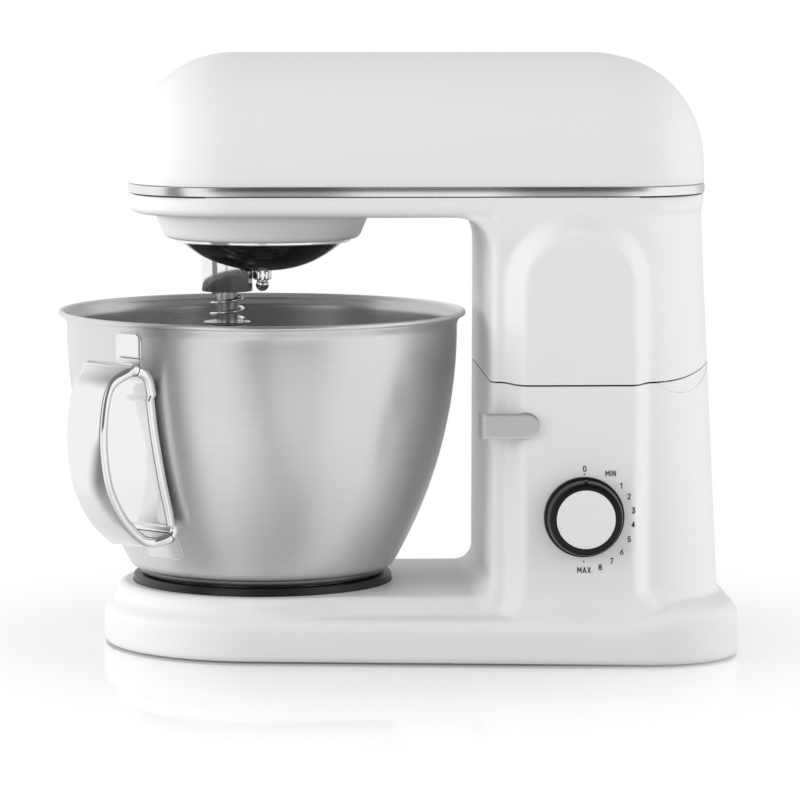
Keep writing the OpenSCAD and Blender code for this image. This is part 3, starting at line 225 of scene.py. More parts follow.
def net_surface(field, low, high, step):
    """Points and quads of the closed surface where field(x, y, z) is zero, in millimetres."""
    axes = [np.arange(a - 1.5 * step, b + 2.5 * step, step) for a, b in zip(low, high)]
    grid = np.meshgrid(*axes, indexing="ij", sparse=True)
    f = np.broadcast_to(field(*grid), [len(a) for a in axes]).astype(np.float32)
    inside = f < 0
    shape = [n - 1 for n in f.shape]
    total = np.zeros(shape + [3], np.float32)
    count = np.zeros(shape, np.int16)
    corners = [(i, j, k) for i in (0, 1) for j in (0, 1) for k in (0, 1)]

    def part(a, c):
        """The values at corner c of every cell."""
        return a[tuple(slice(o, o + n) for o, n in zip(c, shape))]

    for c in corners:
        for axis in range(3):
            if c[axis]:
                continue
            e = list(c)
            e[axis] = 1
            fa, fb = part(f, c), part(f, e)
            cut = part(inside, c) != part(inside, e)
            t = np.where(cut, fa / np.where(cut, fa - fb, 1), 0)
            for d in range(3):
                total[..., d] += np.where(cut, t if d == axis else c[d], 0)
            count += cut
    used = count > 0
    number = np.full(shape, -1, np.int64)
    number[used] = np.arange(used.sum())
    cells = np.argwhere(used)
    origin = np.array([a[0] for a in axes])
    points = origin + (cells + total[used] / count[used][:, None]) * step
    quads = []
    for axis in range(3):
        u, v = (axis + 1) % 3, (axis + 2) % 3
        lo = [slice(1, n) for n in shape]
        lo[axis] = slice(0, shape[axis])
        hi = list(lo)
        hi[axis] = slice(1, shape[axis] + 1)
        a, b = inside[tuple(lo)], inside[tuple(hi)]
        for starts_inside in (True, False):
            found = np.argwhere((a != b) & (a == starts_inside))
            found += [s.start for s in lo]
            ring = []
            for du, dv in ((-1, -1), (0, -1), (0, 0), (-1, 0)):
                cell = found.copy()
                cell[:, u] += du
                cell[:, v] += dv
                ring.append(number[cell[:, 0], cell[:, 1], cell[:, 2]])
            ring = np.stack(ring, 1)
            quads.append(ring if starts_inside else ring[:, ::-1])
    quads = np.concatenate(quads)
    nudge = 0.05
    for _ in range(4):
        x, y, z = points.T
        value = field(x, y, z)
        slope = np.stack([(field(*(points + nudge * np.eye(3)[d]).T) - value) / nudge for d in range(3)], 1)
        size = np.maximum((slope ** 2).sum(1), 0.25)
        move = -(value / size)[:, None] * slope
        points = points + np.clip(move, -step / 2, step / 2)
    return points, quads


# ------------------------------------------------------------------ pieces and meshes


def dress(obj, name):
    """Gives a piece one finish."""
    obj.data.materials.clear()
    obj.data.materials.append(MATERIALS[name])


def mesh_piece(name, points, faces, body, slot, look=None, crease=None, smooth=True):
    """A mesh from points in millimetres that rides on a body; crease sets its hard edges in degrees."""
    mesh = bpy.data.meshes.new(name)
    mesh.from_pydata([tuple(p) for p in np.asarray(points, float) * MM], [],
                     [tuple(int(i) for i in f) for f in faces])
    mesh.validate()
    obj = bpy.data.objects.new(name, mesh)
    bpy.context.scene.collection.objects.link(obj)
    if smooth:
        mesh.shade_smooth()
    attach(obj, body)
    if crease:
        crease_shading(obj, crease)
    dress(obj, look or slot)
    return obj


def smooth_shading(obj, angle):
    """Smooth shading with hard edges above an angle in degrees."""
    obj.data.shade_smooth()
    obj.data.set_sharp_from_angle(angle=math.radians(angle))


def crease_shading(obj, angle):
    """Faces turned outwards, then smooth shading with hard edges."""
    bm = bmesh.new()
    bm.from_mesh(obj.data)
    bmesh.ops.recalc_face_normals(bm, faces=bm.faces)
    bm.to_mesh(obj.data)
    bm.free()
    smooth_shading(obj, angle)


def thicken(obj, wall, offset=-1):
    """Gives a sheet a wall, inwards unless the offset is 1."""
    sheet = obj.modifiers.new("wall", "SOLIDIFY")
    sheet.thickness = wall * MM
    sheet.offset = offset


def soften_edges(obj, width, angle=30, material=-1):
    """Rounds the edges above an angle in degrees."""
    edge = obj.modifiers.new("edge", "BEVEL")
    edge.width = width * MM
    edge.segments = 2
    edge.limit_method = "ANGLE"
    edge.angle_limit = math.radians(angle)
    edge.material = material


def apply_modifiers(obj):
    """Fixes the result of the modifiers into the mesh."""
    graph = bpy.context.evaluated_depsgraph_get()
    done = bpy.data.meshes.new_from_object(obj.evaluated_get(graph))
    obj.modifiers.clear()
    obj.data = done


def joined(a, b):
    """Whether an edge runs between two vertices."""
    return any(e.other_vert(a) is b for e in a.link_edges)


def cut_away(bm, beyond):
    """Removes the surface where beyond(x, y, z) in millimetres is positive, with a clean edge."""
    bm.verts.ensure_lookup_table()
    value = beyond(*(np.array([v.co for v in bm.verts]) / MM).T)
    side = {v: float(s) for v, s in zip(bm.verts, value)}
    crossing = [e for e in bm.edges if side[e.verts[0]] * side[e.verts[1]] < 0]
    for edge in crossing:
        first, second = edge.verts
        a, b = np.array(first.co), np.array(second.co)
        low, high = 0.0, 1.0
        at = side[first] / (side[first] - side[second])
        for _ in range(8):
            if float(beyond(*((a + (b - a) * at) / MM))) * side[first] > 0:
                low = at
            else:
                high = at
            at = (low + high) / 2
        _, middle = bmesh.utils.edge_split(edge, first, min(max(at, 0.001), 0.999))
        side[middle] = 0.0
    for face in list(bm.faces):
        on = [v for v in face.verts if side[v] == 0.0]
        if len(on) == 2 and not joined(*on):
            bmesh.utils.face_split(face, *on)
        elif len(on) == 4:
            split, _ = bmesh.utils.face_split(face, on[0], on[1])
            for part in (face, split):
                pair = [v for v in on[2:] if v in part.verts]
                if len(pair) == 2 and not joined(*pair):
                    bmesh.utils.face_split(part, *pair)
                    break
    bmesh.ops.delete(bm, geom=[v for v in bm.verts if side[v] > 0], context="VERTS")


def trim_away(obj, *cuts):
    """Cuts a piece back by each test in turn."""
    bm = bmesh.new()
    bm.from_mesh(obj.data)
    for beyond in cuts:
        cut_away(bm, beyond)
    bmesh.ops.delete(bm, geom=[v for v in bm.verts if not v.link_faces], context="VERTS")
    bm.to_mesh(obj.data)
    bm.free()


def circle(r, count):
    """Points on a circle about the origin."""
    return [(r * math.cos(2 * math.pi * k / count), r * math.sin(2 * math.pi * k / count))
            for k in range(count)]


def arc(cx, cy, r, start, end, count):
    """Points on an arc in degrees."""
    return [(cx + r * math.cos(math.radians(start + (end - start) * i / count)),
             cy + r * math.sin(math.radians(start + (end - start) * i / count))) for i in range(count + 1)]


def quads_between(rows, count, round_rows=True, looped=False):
    """Quads between rows of points; looped joins the last row to the first."""
    faces = []
    for i in range(rows if looped else rows - 1):
        here, above = i * count, (i + 1) % rows * count
        for k in range(count if round_rows else count - 1):
            beside = (k + 1) % count
            faces.append((here + k, here + beside, above + beside, above + k))
    return faces


def loft(rings, caps=(True, True), looped=False):
    """Quads between rings of equal count; a capped end is a fan round one point."""
    n = len(rings[0])
    points = [p for ring in rings for p in ring]
    faces = quads_between(len(rings), n, looped=looped)
    for i, capped in zip((0, len(rings) - 1), caps):
        if capped and not looped:
            points.append(tuple(np.mean(rings[i], axis=0)))
            fan = [(i * n + (k + 1) % n, i * n + k, len(points) - 1) for k in range(n)]
            faces += [face if i == 0 else (face[1], face[0], face[2]) for face in fan]
    return points, faces


def section_loop(outline_at, section):
    """Sweeps a closed section of (inset, height) round an outline that can be drawn in."""
    return loft([[(x, y, z) for x, y in outline_at(inset)] for inset, z in section], looped=True)


def turned(name, profile, body, slot, centre, look=None, facing=False, segments=128, closed=False):
    """A turned piece: profile of (radius, height) about an upright axis, or one facing the user."""
    cx, cy, cz = centre
    rings = []
    for r, h in profile:
        rings.append([(cx + a, cy - h, cz + b) if facing else (cx + a, cy + b, cz + h)
                      for a, b in circle(r, segments)])
    points, faces = loft(rings, looped=closed)
    return mesh_piece(name, points, faces, body, slot, look, crease=32)


def tube(path, section_at, closed=False, side=None):
    """Sweeps sections of (sideways, outwards) along a path; side fixes the sideways direction."""
    n, points = len(path), []
    for i, p in enumerate(path):
        ahead = path[(i + 1) % n] if closed or i + 1 < n else p
        behind = path[i - 1] if closed or i > 0 else p
        along = (ahead - behind).normalized()
        right = along.cross(Vector((0, 0, 1))).normalized() if side is None else side
        out = right.cross(along).normalized()
        points += [p + right * a + out * b for a, b in section_at(i)]
    m = len(section_at(0))
    faces = quads_between(n, m, looped=closed)
    if not closed:
        faces += [tuple(range(m))[::-1], tuple(range((n - 1) * m, n * m))]
    return points, faces


def slab(outline, back, front):
    """A flat outline of (x, z) between two distances in front of the middle plane."""
    n = len(outline)
    points = [(x, -out, z) for out in (back, front) for x, z in outline]
    faces = [tuple(range(n)), tuple(range(2 * n - 1, n - 1, -1))]
    faces += [(k, k + n, (k + 1) % n + n, (k + 1) % n) for k in range(n)]
    return points, faces


# ------------------------------------------------------------------ base, column and head


def arch_rise(x, z):
    """Raised arched panel of the column: 0 beside it and 1 on it, with a soft slope between."""
    centre_z = ARCH_TOP_Z - ARCH_R
    flare = smooth_step((ARCH_FLARE_Z - z) / ARCH_FLARE_H)
    left = ARCH_X - ARCH_R - 3 * flare
    right = ARCH_X + ARCH_R + 9 * flare
    outside = np.where(z < centre_z, np.maximum(left - x, x - right),
                       np.hypot(x - ARCH_X, z - centre_z) - ARCH_R)
    slope = np.where(x < ARCH_X, 7.4, 6.8)
    return smooth_step(0.5 - outside / (2 * slope))


def column_rear(z):
    """The back of the column leans outwards towards the base."""
    return BACK_X + (HEAD_UNDER_Z - np.minimum(z, HEAD_UNDER_Z)) * COLUMN_LEAN


def column_field(x, y, z):
    """Column between the base and the head; its top takes on the width of the head."""
    near_head = smooth_step((z - WIDEN_Z) / WIDEN_H)
    half_w = COLUMN_HALF_W + (HEAD_HALF_W - COLUMN_HALF_W) * near_head
    raised = (PANEL_Y - COLUMN_HALF_W) * arch_rise(x, z)
    side = (np.abs(y) - half_w - raised) * 0.85
    rear_r = COLUMN_REAR_R + 10 * np.clip((z - PLATFORM_Z) / (HEAD_UNDER_Z - 20.5 - PLATFORM_Z), 0, 1)
    return np.where(x < (FRONT_X + column_rear(z)) / 2, round_and(FRONT_X - x, side, COLUMN_FRONT_R),
                    round_and(x - column_rear(z), side, rear_r))


def base_plan(x, y):
    """Distance in plan to the base: a round nose, straight sides and round rear corners."""
    nose = (BOWL_X, 0.0)
    left, right = [(BASE_REAR_X - BASE_CORNER_R, side * (BASE_HALF_W - BASE_CORNER_R)) for side in (-1, 1)]
    return any_of(wedge_plan(x, y, nose, BASE_NOSE_R, right, BASE_CORNER_R),
                  wedge_plan(x, y, nose, BASE_NOSE_R, left, BASE_CORNER_R),
                  wedge_plan(x, y, right, BASE_CORNER_R, left, BASE_CORNER_R))


def platform_plan(x, y):
    """Distance in plan to the platform: a disc under the bowl and a run back to the column."""
    run = rounded_box_plan(x, y, BOWL_X - 10, FRONT_X + 60, PLATFORM_HALF_W, r=10)
    return round_or(from_bowl(x, y) - PLATFORM_R, run, r=12)


def base_field(x, y, z):
    """Two tiers of the base with the column growing out of them."""
    side_draft, platform_draft, buried = 0.035, 0.15, 15
    plan = base_plan(x, y) + side_draft * np.maximum(z - 4, 0)
    shoulder = SHOULDER_Z + SHOULDER_RISE * smooth_step((x - 105) / 62)
    lower = round_and(round_and(plan, z - shoulder, r=7.0), -z, r=4.0)
    platform = platform_plan(x, y) + platform_draft * (z - PLATFORM_Z)
    upper = round_and(platform, np.maximum(z - PLATFORM_Z, buried - z), r=4.5)
    column = np.maximum(column_field(x, y, z), buried + 5 - z)
    beside, behind = smooth_step((x - FRONT_X - 5) / 30), smooth_step((x - 130) / 30)
    return round_or(round_or(lower, upper, r=3.5), column, r=10 + 3 * beside - 10.5 * behind)


def belly_field(x, y, z):
    """Lower half of the head with its collar and the tilting half of the column."""
    plan = rounded_box_plan(x, y, TIP_X, BACK_X, HEAD_HALF_W, HEAD_CORNER_R)
    tray = round_and(round_and(plan, HEAD_UNDER_Z - z, r=5.5), z - BAND_LOW - 5, r=0.3)
    cone = (from_bowl(x, y) - COLLAR_R - (z - HEAD_UNDER_Z) * 0.42) * 0.92
    collar = round_and(cone, np.maximum(COLLAR_LOW_Z - z, z - HEAD_UNDER_Z - 6), r=2.5)
    column = round_and(column_field(x, y, z), z - BAND_LOW - 4, r=0.5)
    hollow = round_or(HEAD_UNDER_Z - z, FRONT_X - x, r=19)
    hollow = np.maximum(hollow, block(x, z, FRONT_X, HEAD_UNDER_Z - 9, 20, 11))
    hollow = round_and(hollow, np.abs(y) - COLUMN_HALF_W - 0.8, r=5)
    return round_or(any_of(tray, column, hollow), collar, r=3.5)


def seam_height(x):
    """Middle of the visible parting line round the column."""
    front = 0.7 * smooth_step((FRONT_X + 14 - x) / 10)
    back = 6.7 * np.clip((x - HINGE_X + 14) / 31, 0, 1) ** 2.2
    return SEAM_Z + 0.4 + front + back


def barrel_edge(x, r):
    """Lower arc of the hinge barrel; far above the seam where there is no barrel."""
    dx = x - HINGE_X
    return np.where(np.abs(dx) < r, HINGE_Z - np.sqrt(np.maximum(r * r - dx * dx, 0)), 1e3)


def fixed_edge(x):
    """Upper edge of the fixed half of the column."""
    return np.minimum(seam_height(x) - 0.5, barrel_edge(x, BARREL_R + 0.1))


def skin_piece(name, field, low, high, cuts, body):
    """A moulded shell: the skin of a field, trimmed by the cuts and given a wall."""
    points, quads = net_surface(field, low, high, STEP)
    obj = mesh_piece(name, points, quads, body, "white_enamel")
    trim_away(obj, *cuts)
    thicken(obj, 3.0)
    apply_modifiers(obj)
    smooth_shading(obj, 40)
    return obj


def relieve(obj, r, wide):
    """Thins the inside of a rear wall so that it clears a circle about the hinge."""
    for v in obj.data.vertices:
        x, y, z = v.co / MM
        dx, dz = x - HINGE_X, z - HINGE_Z
        far = math.hypot(dx, dz)
        if dx > 8 and abs(y) < wide and far < r:
            v.co = Vector((HINGE_X + dx * r / far, y, HINGE_Z + dz * r / far)) * MM


def round_hole(cx, cz, r):
    """Test for a hole through the near side."""
    return lambda x, y, z: np.where(y < -60, r - np.hypot(x - cx, z - cz), -1.0)


def base_shell():
    """Fixed moulding: two tiers, column with arched panels, recess for the bowl seat."""
    cuts = [lambda x, y, z: z - fixed_edge(x),
            lambda x, y, z: 1.2 - z,
            lambda x, y, z: np.where(z > 28, SEAT_R + 0.4 - from_bowl(x, y), -1.0),
            round_hole(PANEL_X, DIAL_Z, 9.2), round_hole(LEVER_X, LEVER_Z, 6.2)]
    obj = skin_piece("base_shell", base_field, (base_low.x - 2, -BASE_HALF_W - 2, -3),
                     (base_high.x + 2, BASE_HALF_W + 2, SEAM_Z + 19), cuts, "base")
    relieve(obj, BARREL_R + 0.2, 72)
    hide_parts("base_housing")


def belly_shell():
    """Tilting moulding: tray of the head, collar and upper half of the column."""
    mouth = ring_high.x - BOWL_X + 0.15
    cuts = [lambda x, y, z: z - BAND_LOW,
            lambda x, y, z: seam_height(x) + 0.45 - z,
            lambda x, y, z: mouth - from_bowl(x, y)]
    obj = skin_piece("head_belly", belly_field, (TIP_X - 2, -PANEL_Y - 2, SEAM_Z - 10),
                     (BACK_X + 8, PANEL_Y + 2, BAND_LOW + 10), cuts, "head")
    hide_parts("head_housing")


def hinge_cheek():
    """Lower edge of the tilting half, round the hinge barrel."""
    cuts = [lambda x, y, z: z - (seam_height(x) - 0.35),
            lambda x, y, z: barrel_edge(x, BARREL_R) - z,
            lambda x, y, z: HINGE_X - BARREL_R - x]
    low = (HINGE_X - BARREL_R - 2, -COLUMN_HALF_W - 2, HINGE_Z - BARREL_R - 4)
    skin_piece("hinge_cheek", belly_field, low, (BACK_X + 8, COLUMN_HALF_W + 2, HINGE_Z + 6), cuts, "head")


def head_outline(inset, count):
    """Plan outline of the head, drawn in by inset, with soft corners."""
    hx = (BACK_X - TIP_X) / 2 - inset
    hy = HEAD_HALF_W - inset
    r = max(HEAD_CORNER_R - inset, 2.0)
    cx, power = (BACK_X + TIP_X) / 2, 2 / 2.25
    ring = []
    quarter = count // 4
    for q in range(4):
        sx = 1 if q in (0, 3) else -1
        sy = 1 if q in (0, 1) else -1
        for i in range(quarter):
            t = (i / quarter if q % 2 == 0 else 1 - i / quarter) * math.pi / 2
            c, s = math.cos(t) ** power, math.sin(t) ** power
            ring.append((cx + sx * (hx - r + r * c), sy * (hy - r + r * s)))
    return ring


def head_shell():
    """Crowned cover of the head, hollow underneath."""
    rows, count = 40, 192
    deep, side_h, power = 60.0, 62.0, 2 / 2.12
    rings = [[(x, y, BAND_TOP + up) for x, y in head_outline(inset, count)]
             for inset, up in ((0.5, 0.0), (0.0, 0.6), (0.0, 5.0))]
    for i in range(rows + 1):
        a = i / rows * math.pi / 2
        inset, z = deep * (1 - math.cos(a) ** power), HEAD_TOP - side_h + side_h * math.sin(a) ** power
        if z > BAND_TOP + 6:
            rings.append([(x, y, z) for x, y in head_outline(min(inset, deep), count)])
    for along, across in ((0.9, 0.8), (0.775, 0.55), (0.4, 0.3)):
        cx = np.mean([p[0] for p in rings[-1]])
        rings.append([(cx + (x - cx) * along, y * across, HEAD_TOP) for x, y, _ in rings[-1]])
    points, faces = loft(rings, caps=(False, True))
    obj = mesh_piece("head_shell", points, faces, "head", "white_enamel")
    thicken(obj, 2.6)
    apply_modifiers(obj)
    obj.data.shade_smooth()
    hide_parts("head_cover")


# ------------------------------------------------------------------ finishes


def add(tree, kind, values=None, **settings):
    """A shader node with its settings; values holds constants or sockets to link."""
    node = tree.nodes.new("ShaderNode" + kind)
    for key, value in settings.items():
        setattr(node, key, value)
    for key, value in (values or {}).items():
        if isinstance(value, bpy.types.NodeSocket):
            tree.links.new(value, node.inputs[key])
        else:
            node.inputs[key].default_value = value
    return node


def effect(name, inputs, outputs, build):
    """A shader node group of masks and values with named inputs and outputs."""
    tree = bpy.data.node_groups.new(name, "ShaderNodeTree")
    for label, value in inputs.items():
        tree.interface.new_socket(label, in_out="INPUT", socket_type="NodeSocketFloat").default_value = value
    for label in outputs:
        tree.interface.new_socket(label, in_out="OUTPUT", socket_type="NodeSocketFloat")
    start, end = tree.nodes.new("NodeGroupInput"), tree.nodes.new("NodeGroupOutput")
    for label, socket in build(tree, start.outputs).items():
        tree.links.new(socket, end.inputs[label])
    return tree


def place(tree):
    """The object's own coordinates."""
    return add(tree, "TexCoord").outputs["Object"]


def calc(tree, operation, *values):
    """One step of arithmetic on numbers or sockets."""
    return add(tree, "Math", dict(enumerate(values)), operation=operation).outputs[0]


def rescale(tree, value, start, end, low=0.0, high=1.0, soft=False):
    """Maps start..end to low..high and holds it beyond both ends."""
    kind = "SMOOTHSTEP" if soft else "LINEAR"
    values = {"Value": value, "From Min": start, "From Max": end, "To Min": low, "To Max": high}
    return add(tree, "MapRange", values, interpolation_type=kind).outputs[0]


def mix(tree, share, first, second):
    """One colour turned into another by a share."""
    return add(tree, "Mix", {"Factor": share, "A": first, "B": second}, data_type="RGBA").outputs["Result"]


def noise_at(tree, where, scale, detail, **more):
    """Shade of a noise pattern."""
    return add(tree, "TexNoise", {"Vector": where, "Scale": scale, "Detail": detail, **more}).outputs["Fac"]


def build_grain(tree, given):
    """Even fine grain."""
    return {"Shade": noise_at(tree, place(tree), given["Scale"], 3.0)}


def build_lines(tree, given):
    """Grain stretched into brushed lines, finest along the axis with the largest number."""
    stretch = add(tree, "CombineXYZ", {axis: given["Along " + axis] for axis in "XYZ"})
    where = add(tree, "VectorMath", {0: place(tree), 1: stretch.outputs[0]}, operation="MULTIPLY")
    return {"Shade": noise_at(tree, where.outputs[0], 1.0, 4.0, Roughness=0.65)}


def build_turned(tree, given):
    """Fine rings round an upright axis, which fade in and out along their length."""
    parts = add(tree, "SeparateXYZ", {0: place(tree)}).outputs
    x, y = calc(tree, "SUBTRACT", parts["X"], given["Centre X"]), parts["Y"]
    angle = calc(tree, "ARCTAN2", y, x)
    flat = add(tree, "CombineXYZ", {"X": x, "Y": y, "Z": 0.0})
    out = add(tree, "VectorMath", {0: flat.outputs[0]}, operation="LENGTH").outputs["Value"]
    fine = calc(tree, "MULTIPLY", calc(tree, "ADD", out, parts["Z"]), given["Lines"])
    across = calc(tree, "MULTIPLY", calc(tree, "COSINE", angle), given["Breaks"])
    along = calc(tree, "MULTIPLY", calc(tree, "SINE", angle), given["Breaks"])
    where = add(tree, "CombineXYZ", {"X": across, "Y": along, "Z": fine})
    return {"Shade": noise_at(tree, where.outputs[0], 1.0, 4.0, Roughness=0.7)}


def build_handling(tree, given):
    """Large soft patches where a surface was touched or wiped."""
    patches = noise_at(tree, place(tree), given["Scale"], 2.0, Distortion=0.6)
    return {"Mask": rescale(tree, patches, 0.35, 0.7)}


def build_wear(tree, given):
    """Edges rubbed bright, broken up by grain."""
    edge = rescale(tree, add(tree, "NewGeometry").outputs["Pointiness"], 0.52, 0.62)
    rough = rescale(tree, noise_at(tree, place(tree), 160.0, 3.0), 0.4, 0.65)
    return {"Mask": calc(tree, "MULTIPLY", calc(tree, "MULTIPLY", edge, rough), given["Amount"])}


EFFECTS = {
    "grain": effect("grain", {"Scale": 900.0}, ["Shade"], build_grain),
    "brushed_lines": effect("brushed_lines", {"Along X": 10.0, "Along Y": 900.0, "Along Z": 900.0},
                            ["Shade"], build_lines),
    "turned_lines": effect("turned_lines", {"Centre X": 0.0, "Lines": 1500.0, "Breaks": 2.0},
                           ["Shade"], build_turned),
    "handling": effect("handling", {"Scale": 9.0}, ["Mask"], build_handling),
    "edge_wear": effect("edge_wear", {"Amount": 0.5}, ["Mask"], build_wear),
}


def placed_effect(tree, name, values):
    """One effect put into a material, with its own values."""
    node = tree.nodes.new("ShaderNodeGroup")
    node.node_tree = EFFECTS[name]
    for key, value in values.items():
        node.inputs[key].default_value = value
    return node.outputs[0]


def grain(scale):
    """Even grain."""
    return "grain", {"Scale": scale}


def brushed(x, y, z):
    """Brushed lines by their fineness along x, y and z."""
    return "brushed_lines", {"Along X": x, "Along Y": y, "Along Z": z}


def lathe(centre_x, lines, breaks=2.0):
    """Rings of a turned or spun piece about an upright axis."""
    return "turned_lines", {"Centre X": centre_x * MM, "Lines": lines, "Breaks": breaks}


def grey(value, warm=0.0):
    """A neutral colour from its sRGB grey level."""
    linear = ((value + 0.055) / 1.055) ** 2.4 if value > 0.04 else value / 12.92
    return (linear * (1 + warm), linear, linear * (1 - warm), 1.0)


MATERIALS = {}


def finish(name, shades, rough, pattern=grain(900.0), relief=0.0, metal=0.0, coat=0.0, wear=0.0,
           worn=None, patches=9.0, turned_metal=0.0, **constants):
    """A surface finish: two shades mixed by a pattern, patchy roughness, relief and worn edges."""
    material = MATERIALS[name] = bpy.data.materials.new(name)
    material.use_nodes = True
    tree = material.node_tree
    shader = tree.nodes["Principled BSDF"]
    shade = placed_effect(tree, *pattern)
    shown = mix(tree, shade, *shades)
    if wear:
        shown = mix(tree, placed_effect(tree, "edge_wear", {"Amount": wear}), shown, worn or grey(0.75))
    tree.links.new(shown, shader.inputs["Base Color"])
    touched = placed_effect(tree, "handling", {"Scale": patches})
    dull = rescale(tree, calc(tree, "ADD", touched, shade), 0.2, 1.6, *rough)
    tree.links.new(dull, shader.inputs["Roughness"])
    shader.inputs["Metallic"].default_value = metal
    shader.inputs["Coat Weight"].default_value = coat
    if turned_metal:
        constants.update(Anisotropic=turned_metal, Anisotropic_Rotation=0.25)
        round_axis = add(tree, "Tangent", direction_type="RADIAL", axis="Z")
        tree.links.new(round_axis.outputs[0], shader.inputs["Tangent"])
    for key, value in constants.items():
        shader.inputs[key.replace("_", " ")].default_value = value
    if relief:
        bump = add(tree, "Bump", {"Height": shade, "Strength": 0.5, "Distance": relief * MM})
        tree.links.new(bump.outputs[0], shader.inputs["Normal"])
    return material


SPUN = lathe(BOWL_X, 2600.0, 2.5)
SATIN = brushed(2200.0, 300.0, 60.0)
STRIP = brushed(30.0, 60.0, 2500.0)

# moulded and rubber parts
finish("white_enamel", (grey(0.93), grey(0.945, 0.004)), (0.36, 0.46), relief=0.012, patches=7.0,
       Specular_IOR_Level=0.42)
finish("bottom_grey", (grey(0.26), grey(0.32)), (0.5, 0.65), relief=0.05, wear=0.3)
finish("foot_rubber", (grey(0.12), grey(0.17)), (0.7, 0.85), grain(600.0), relief=0.06)
finish("seat_black", (grey(0.05), grey(0.07)), (0.3, 0.42), relief=0.02, wear=0.15, worn=grey(0.3))
finish("dial_black", (grey(0.03), grey(0.045)), (0.22, 0.32), relief=0.006, wear=0.06, worn=grey(0.22),
       Specular_IOR_Level=0.3)
finish("black_plastic", (grey(0.13), grey(0.17)), (0.5, 0.62), relief=0.03, wear=0.2, worn=grey(0.35))
finish("gloss_black", (grey(0.06), grey(0.08)), (0.07, 0.12), coat=0.6, relief=0.002, patches=14.0)
finish("belt_rubber", (grey(0.1), grey(0.15)), (0.65, 0.8), brushed(40.0, 40.0, 1500.0), relief=0.1)
finish("print_grey", (grey(0.2), grey(0.24)), (0.5, 0.6))

# plated, brushed and turned metal
finish("zinc_steel", (grey(0.62), grey(0.74)), (0.22, 0.4), brushed(700.0, 700.0, 90.0), metal=1.0,
       relief=0.01)
finish("cap_silver", (grey(0.93), grey(0.96)), (0.3, 0.38), SATIN, metal=0.08, relief=0.004)
# painted reflection: a dark metal colour that draws dark outlines along the lever's rounded edges
finish("edge_painted_reflection", (grey(0.36), grey(0.46)), (0.08, 0.14), metal=1.0, patches=30.0)
finish("satin_silver", (grey(0.80), grey(0.86)), (0.34, 0.44), SATIN, metal=0.85, relief=0.006)
finish("steel_plate", (grey(0.55), grey(0.66)), (0.3, 0.45), brushed(60.0, 600.0, 600.0), metal=1.0,
       relief=0.02, wear=0.4, worn=grey(0.85))
finish("bright_band", (grey(0.86), grey(0.93)), (0.2, 0.28), STRIP, metal=1.0, relief=0.004)
finish("cast_grey", (grey(0.55), grey(0.66)), (0.42, 0.6), grain(450.0), metal=0.9, relief=0.12, wear=0.4,
       worn=grey(0.85))
finish("gear_steel", (grey(0.5, 0.06), grey(0.62, 0.04)), (0.25, 0.45), metal=1.0, relief=0.02, wear=0.5,
       worn=grey(0.85))
finish("pulley_alloy", (grey(0.68), grey(0.78)), (0.28, 0.4), lathe(MOTOR_X, 2500.0), metal=1.0, relief=0.01)
finish("chrome", (grey(0.93), grey(0.96)), (0.04, 0.09), metal=1.0, patches=14.0)
finish("spindle_steel", (grey(0.7), grey(0.85)), (0.14, 0.24), lathe(SPINDLE_X, 3000.0), metal=1.0,
       relief=0.004)
finish("beater_alloy", (grey(0.74), grey(0.82)), (0.3, 0.42), grain(260.0), metal=1.0, relief=0.03, wear=0.4,
       worn=grey(0.93))
finish("brushed_steel", (grey(0.84), grey(0.93)), (0.3, 0.4), SPUN, metal=1.0, relief=0.006, patches=12.0,
       turned_metal=0.7)
# painted shade: the inside of the bowl is the same steel with a darker base colour; its brushing and
# roughness are its own
finish("bowl_inside_painted_shade", (grey(0.68), grey(0.84)), (0.24, 0.36), SPUN, metal=1.0, relief=0.012, patches=12.0,
       turned_metal=0.6)

# electrical parts
finish("pot_blue", ((0.03, 0.07, 0.2, 1), (0.04, 0.1, 0.26, 1)), (0.4, 0.5), relief=0.02)
finish("board_green", ((0.01, 0.09, 0.03, 1), (0.02, 0.13, 0.045, 1)), (0.3, 0.4), grain(300.0), coat=0.3)
finish("stator_iron", (grey(0.3, 0.15), grey(0.42, 0.12)), (0.45, 0.6), brushed(30.0, 30.0, 1800.0),
       metal=0.7, relief=0.1)


# period and shift along x, in metres, of the painted reflections on the trim strip
PAINTED_REFLECTION_PERIOD, PAINTED_REFLECTION_SHIFT = 0.152, 0.062


def trim_metal():
    """Polished strip with painted reflections: its base colour turns darker and lighter in long soft
    stretches along x.
    """
    material = finish("trim_metal", (grey(0.9), grey(0.97)), (0.2, 0.28), STRIP, metal=1.0, relief=0.003)
    tree = material.node_tree
    base = tree.nodes["Principled BSDF"].inputs["Base Color"]
    x = add(tree, "SeparateXYZ", {0: place(tree)}).outputs["X"]
    # painted reflection: a cosine along x darkens the base colour towards grey in soft stretches, less
    # towards the back end
    turns = 2 * math.pi / PAINTED_REFLECTION_PERIOD
    reflection_wave = calc(tree, "COSINE", calc(tree, "ADD", calc(tree, "MULTIPLY", x, turns), turns * PAINTED_REFLECTION_SHIFT))
    depth = calc(tree, "MULTIPLY", rescale(tree, reflection_wave, -0.4, 0.9, 0.0, 0.72, soft=True),
                 rescale(tree, x, 0.118, 0.15, 1.0, 0.3))
    tree.links.new(mix(tree, depth, base.links[0].from_socket, grey(0.5)), base)


trim_metal()


def dress_cad_nodes():
    """Every CAD node gets the finish of its slot in the record."""
    for row in frame["record"]["subparts"]:
        obj, look = frame["nodes"][row["node"]], MATERIALS[row["material_slot"]]
        for i in range(max(len(obj.data.materials), 1)):
            if i < len(obj.data.materials):
                obj.data.materials[i] = look
            else:
                obj.data.materials.append(look)


# ------------------------------------------------------------------ head trim and drive


BORE_R = 6.1
HUB_R = 10.8
FRAME_HALF_W, PLATE_HALF_T = 4.4, 3.4


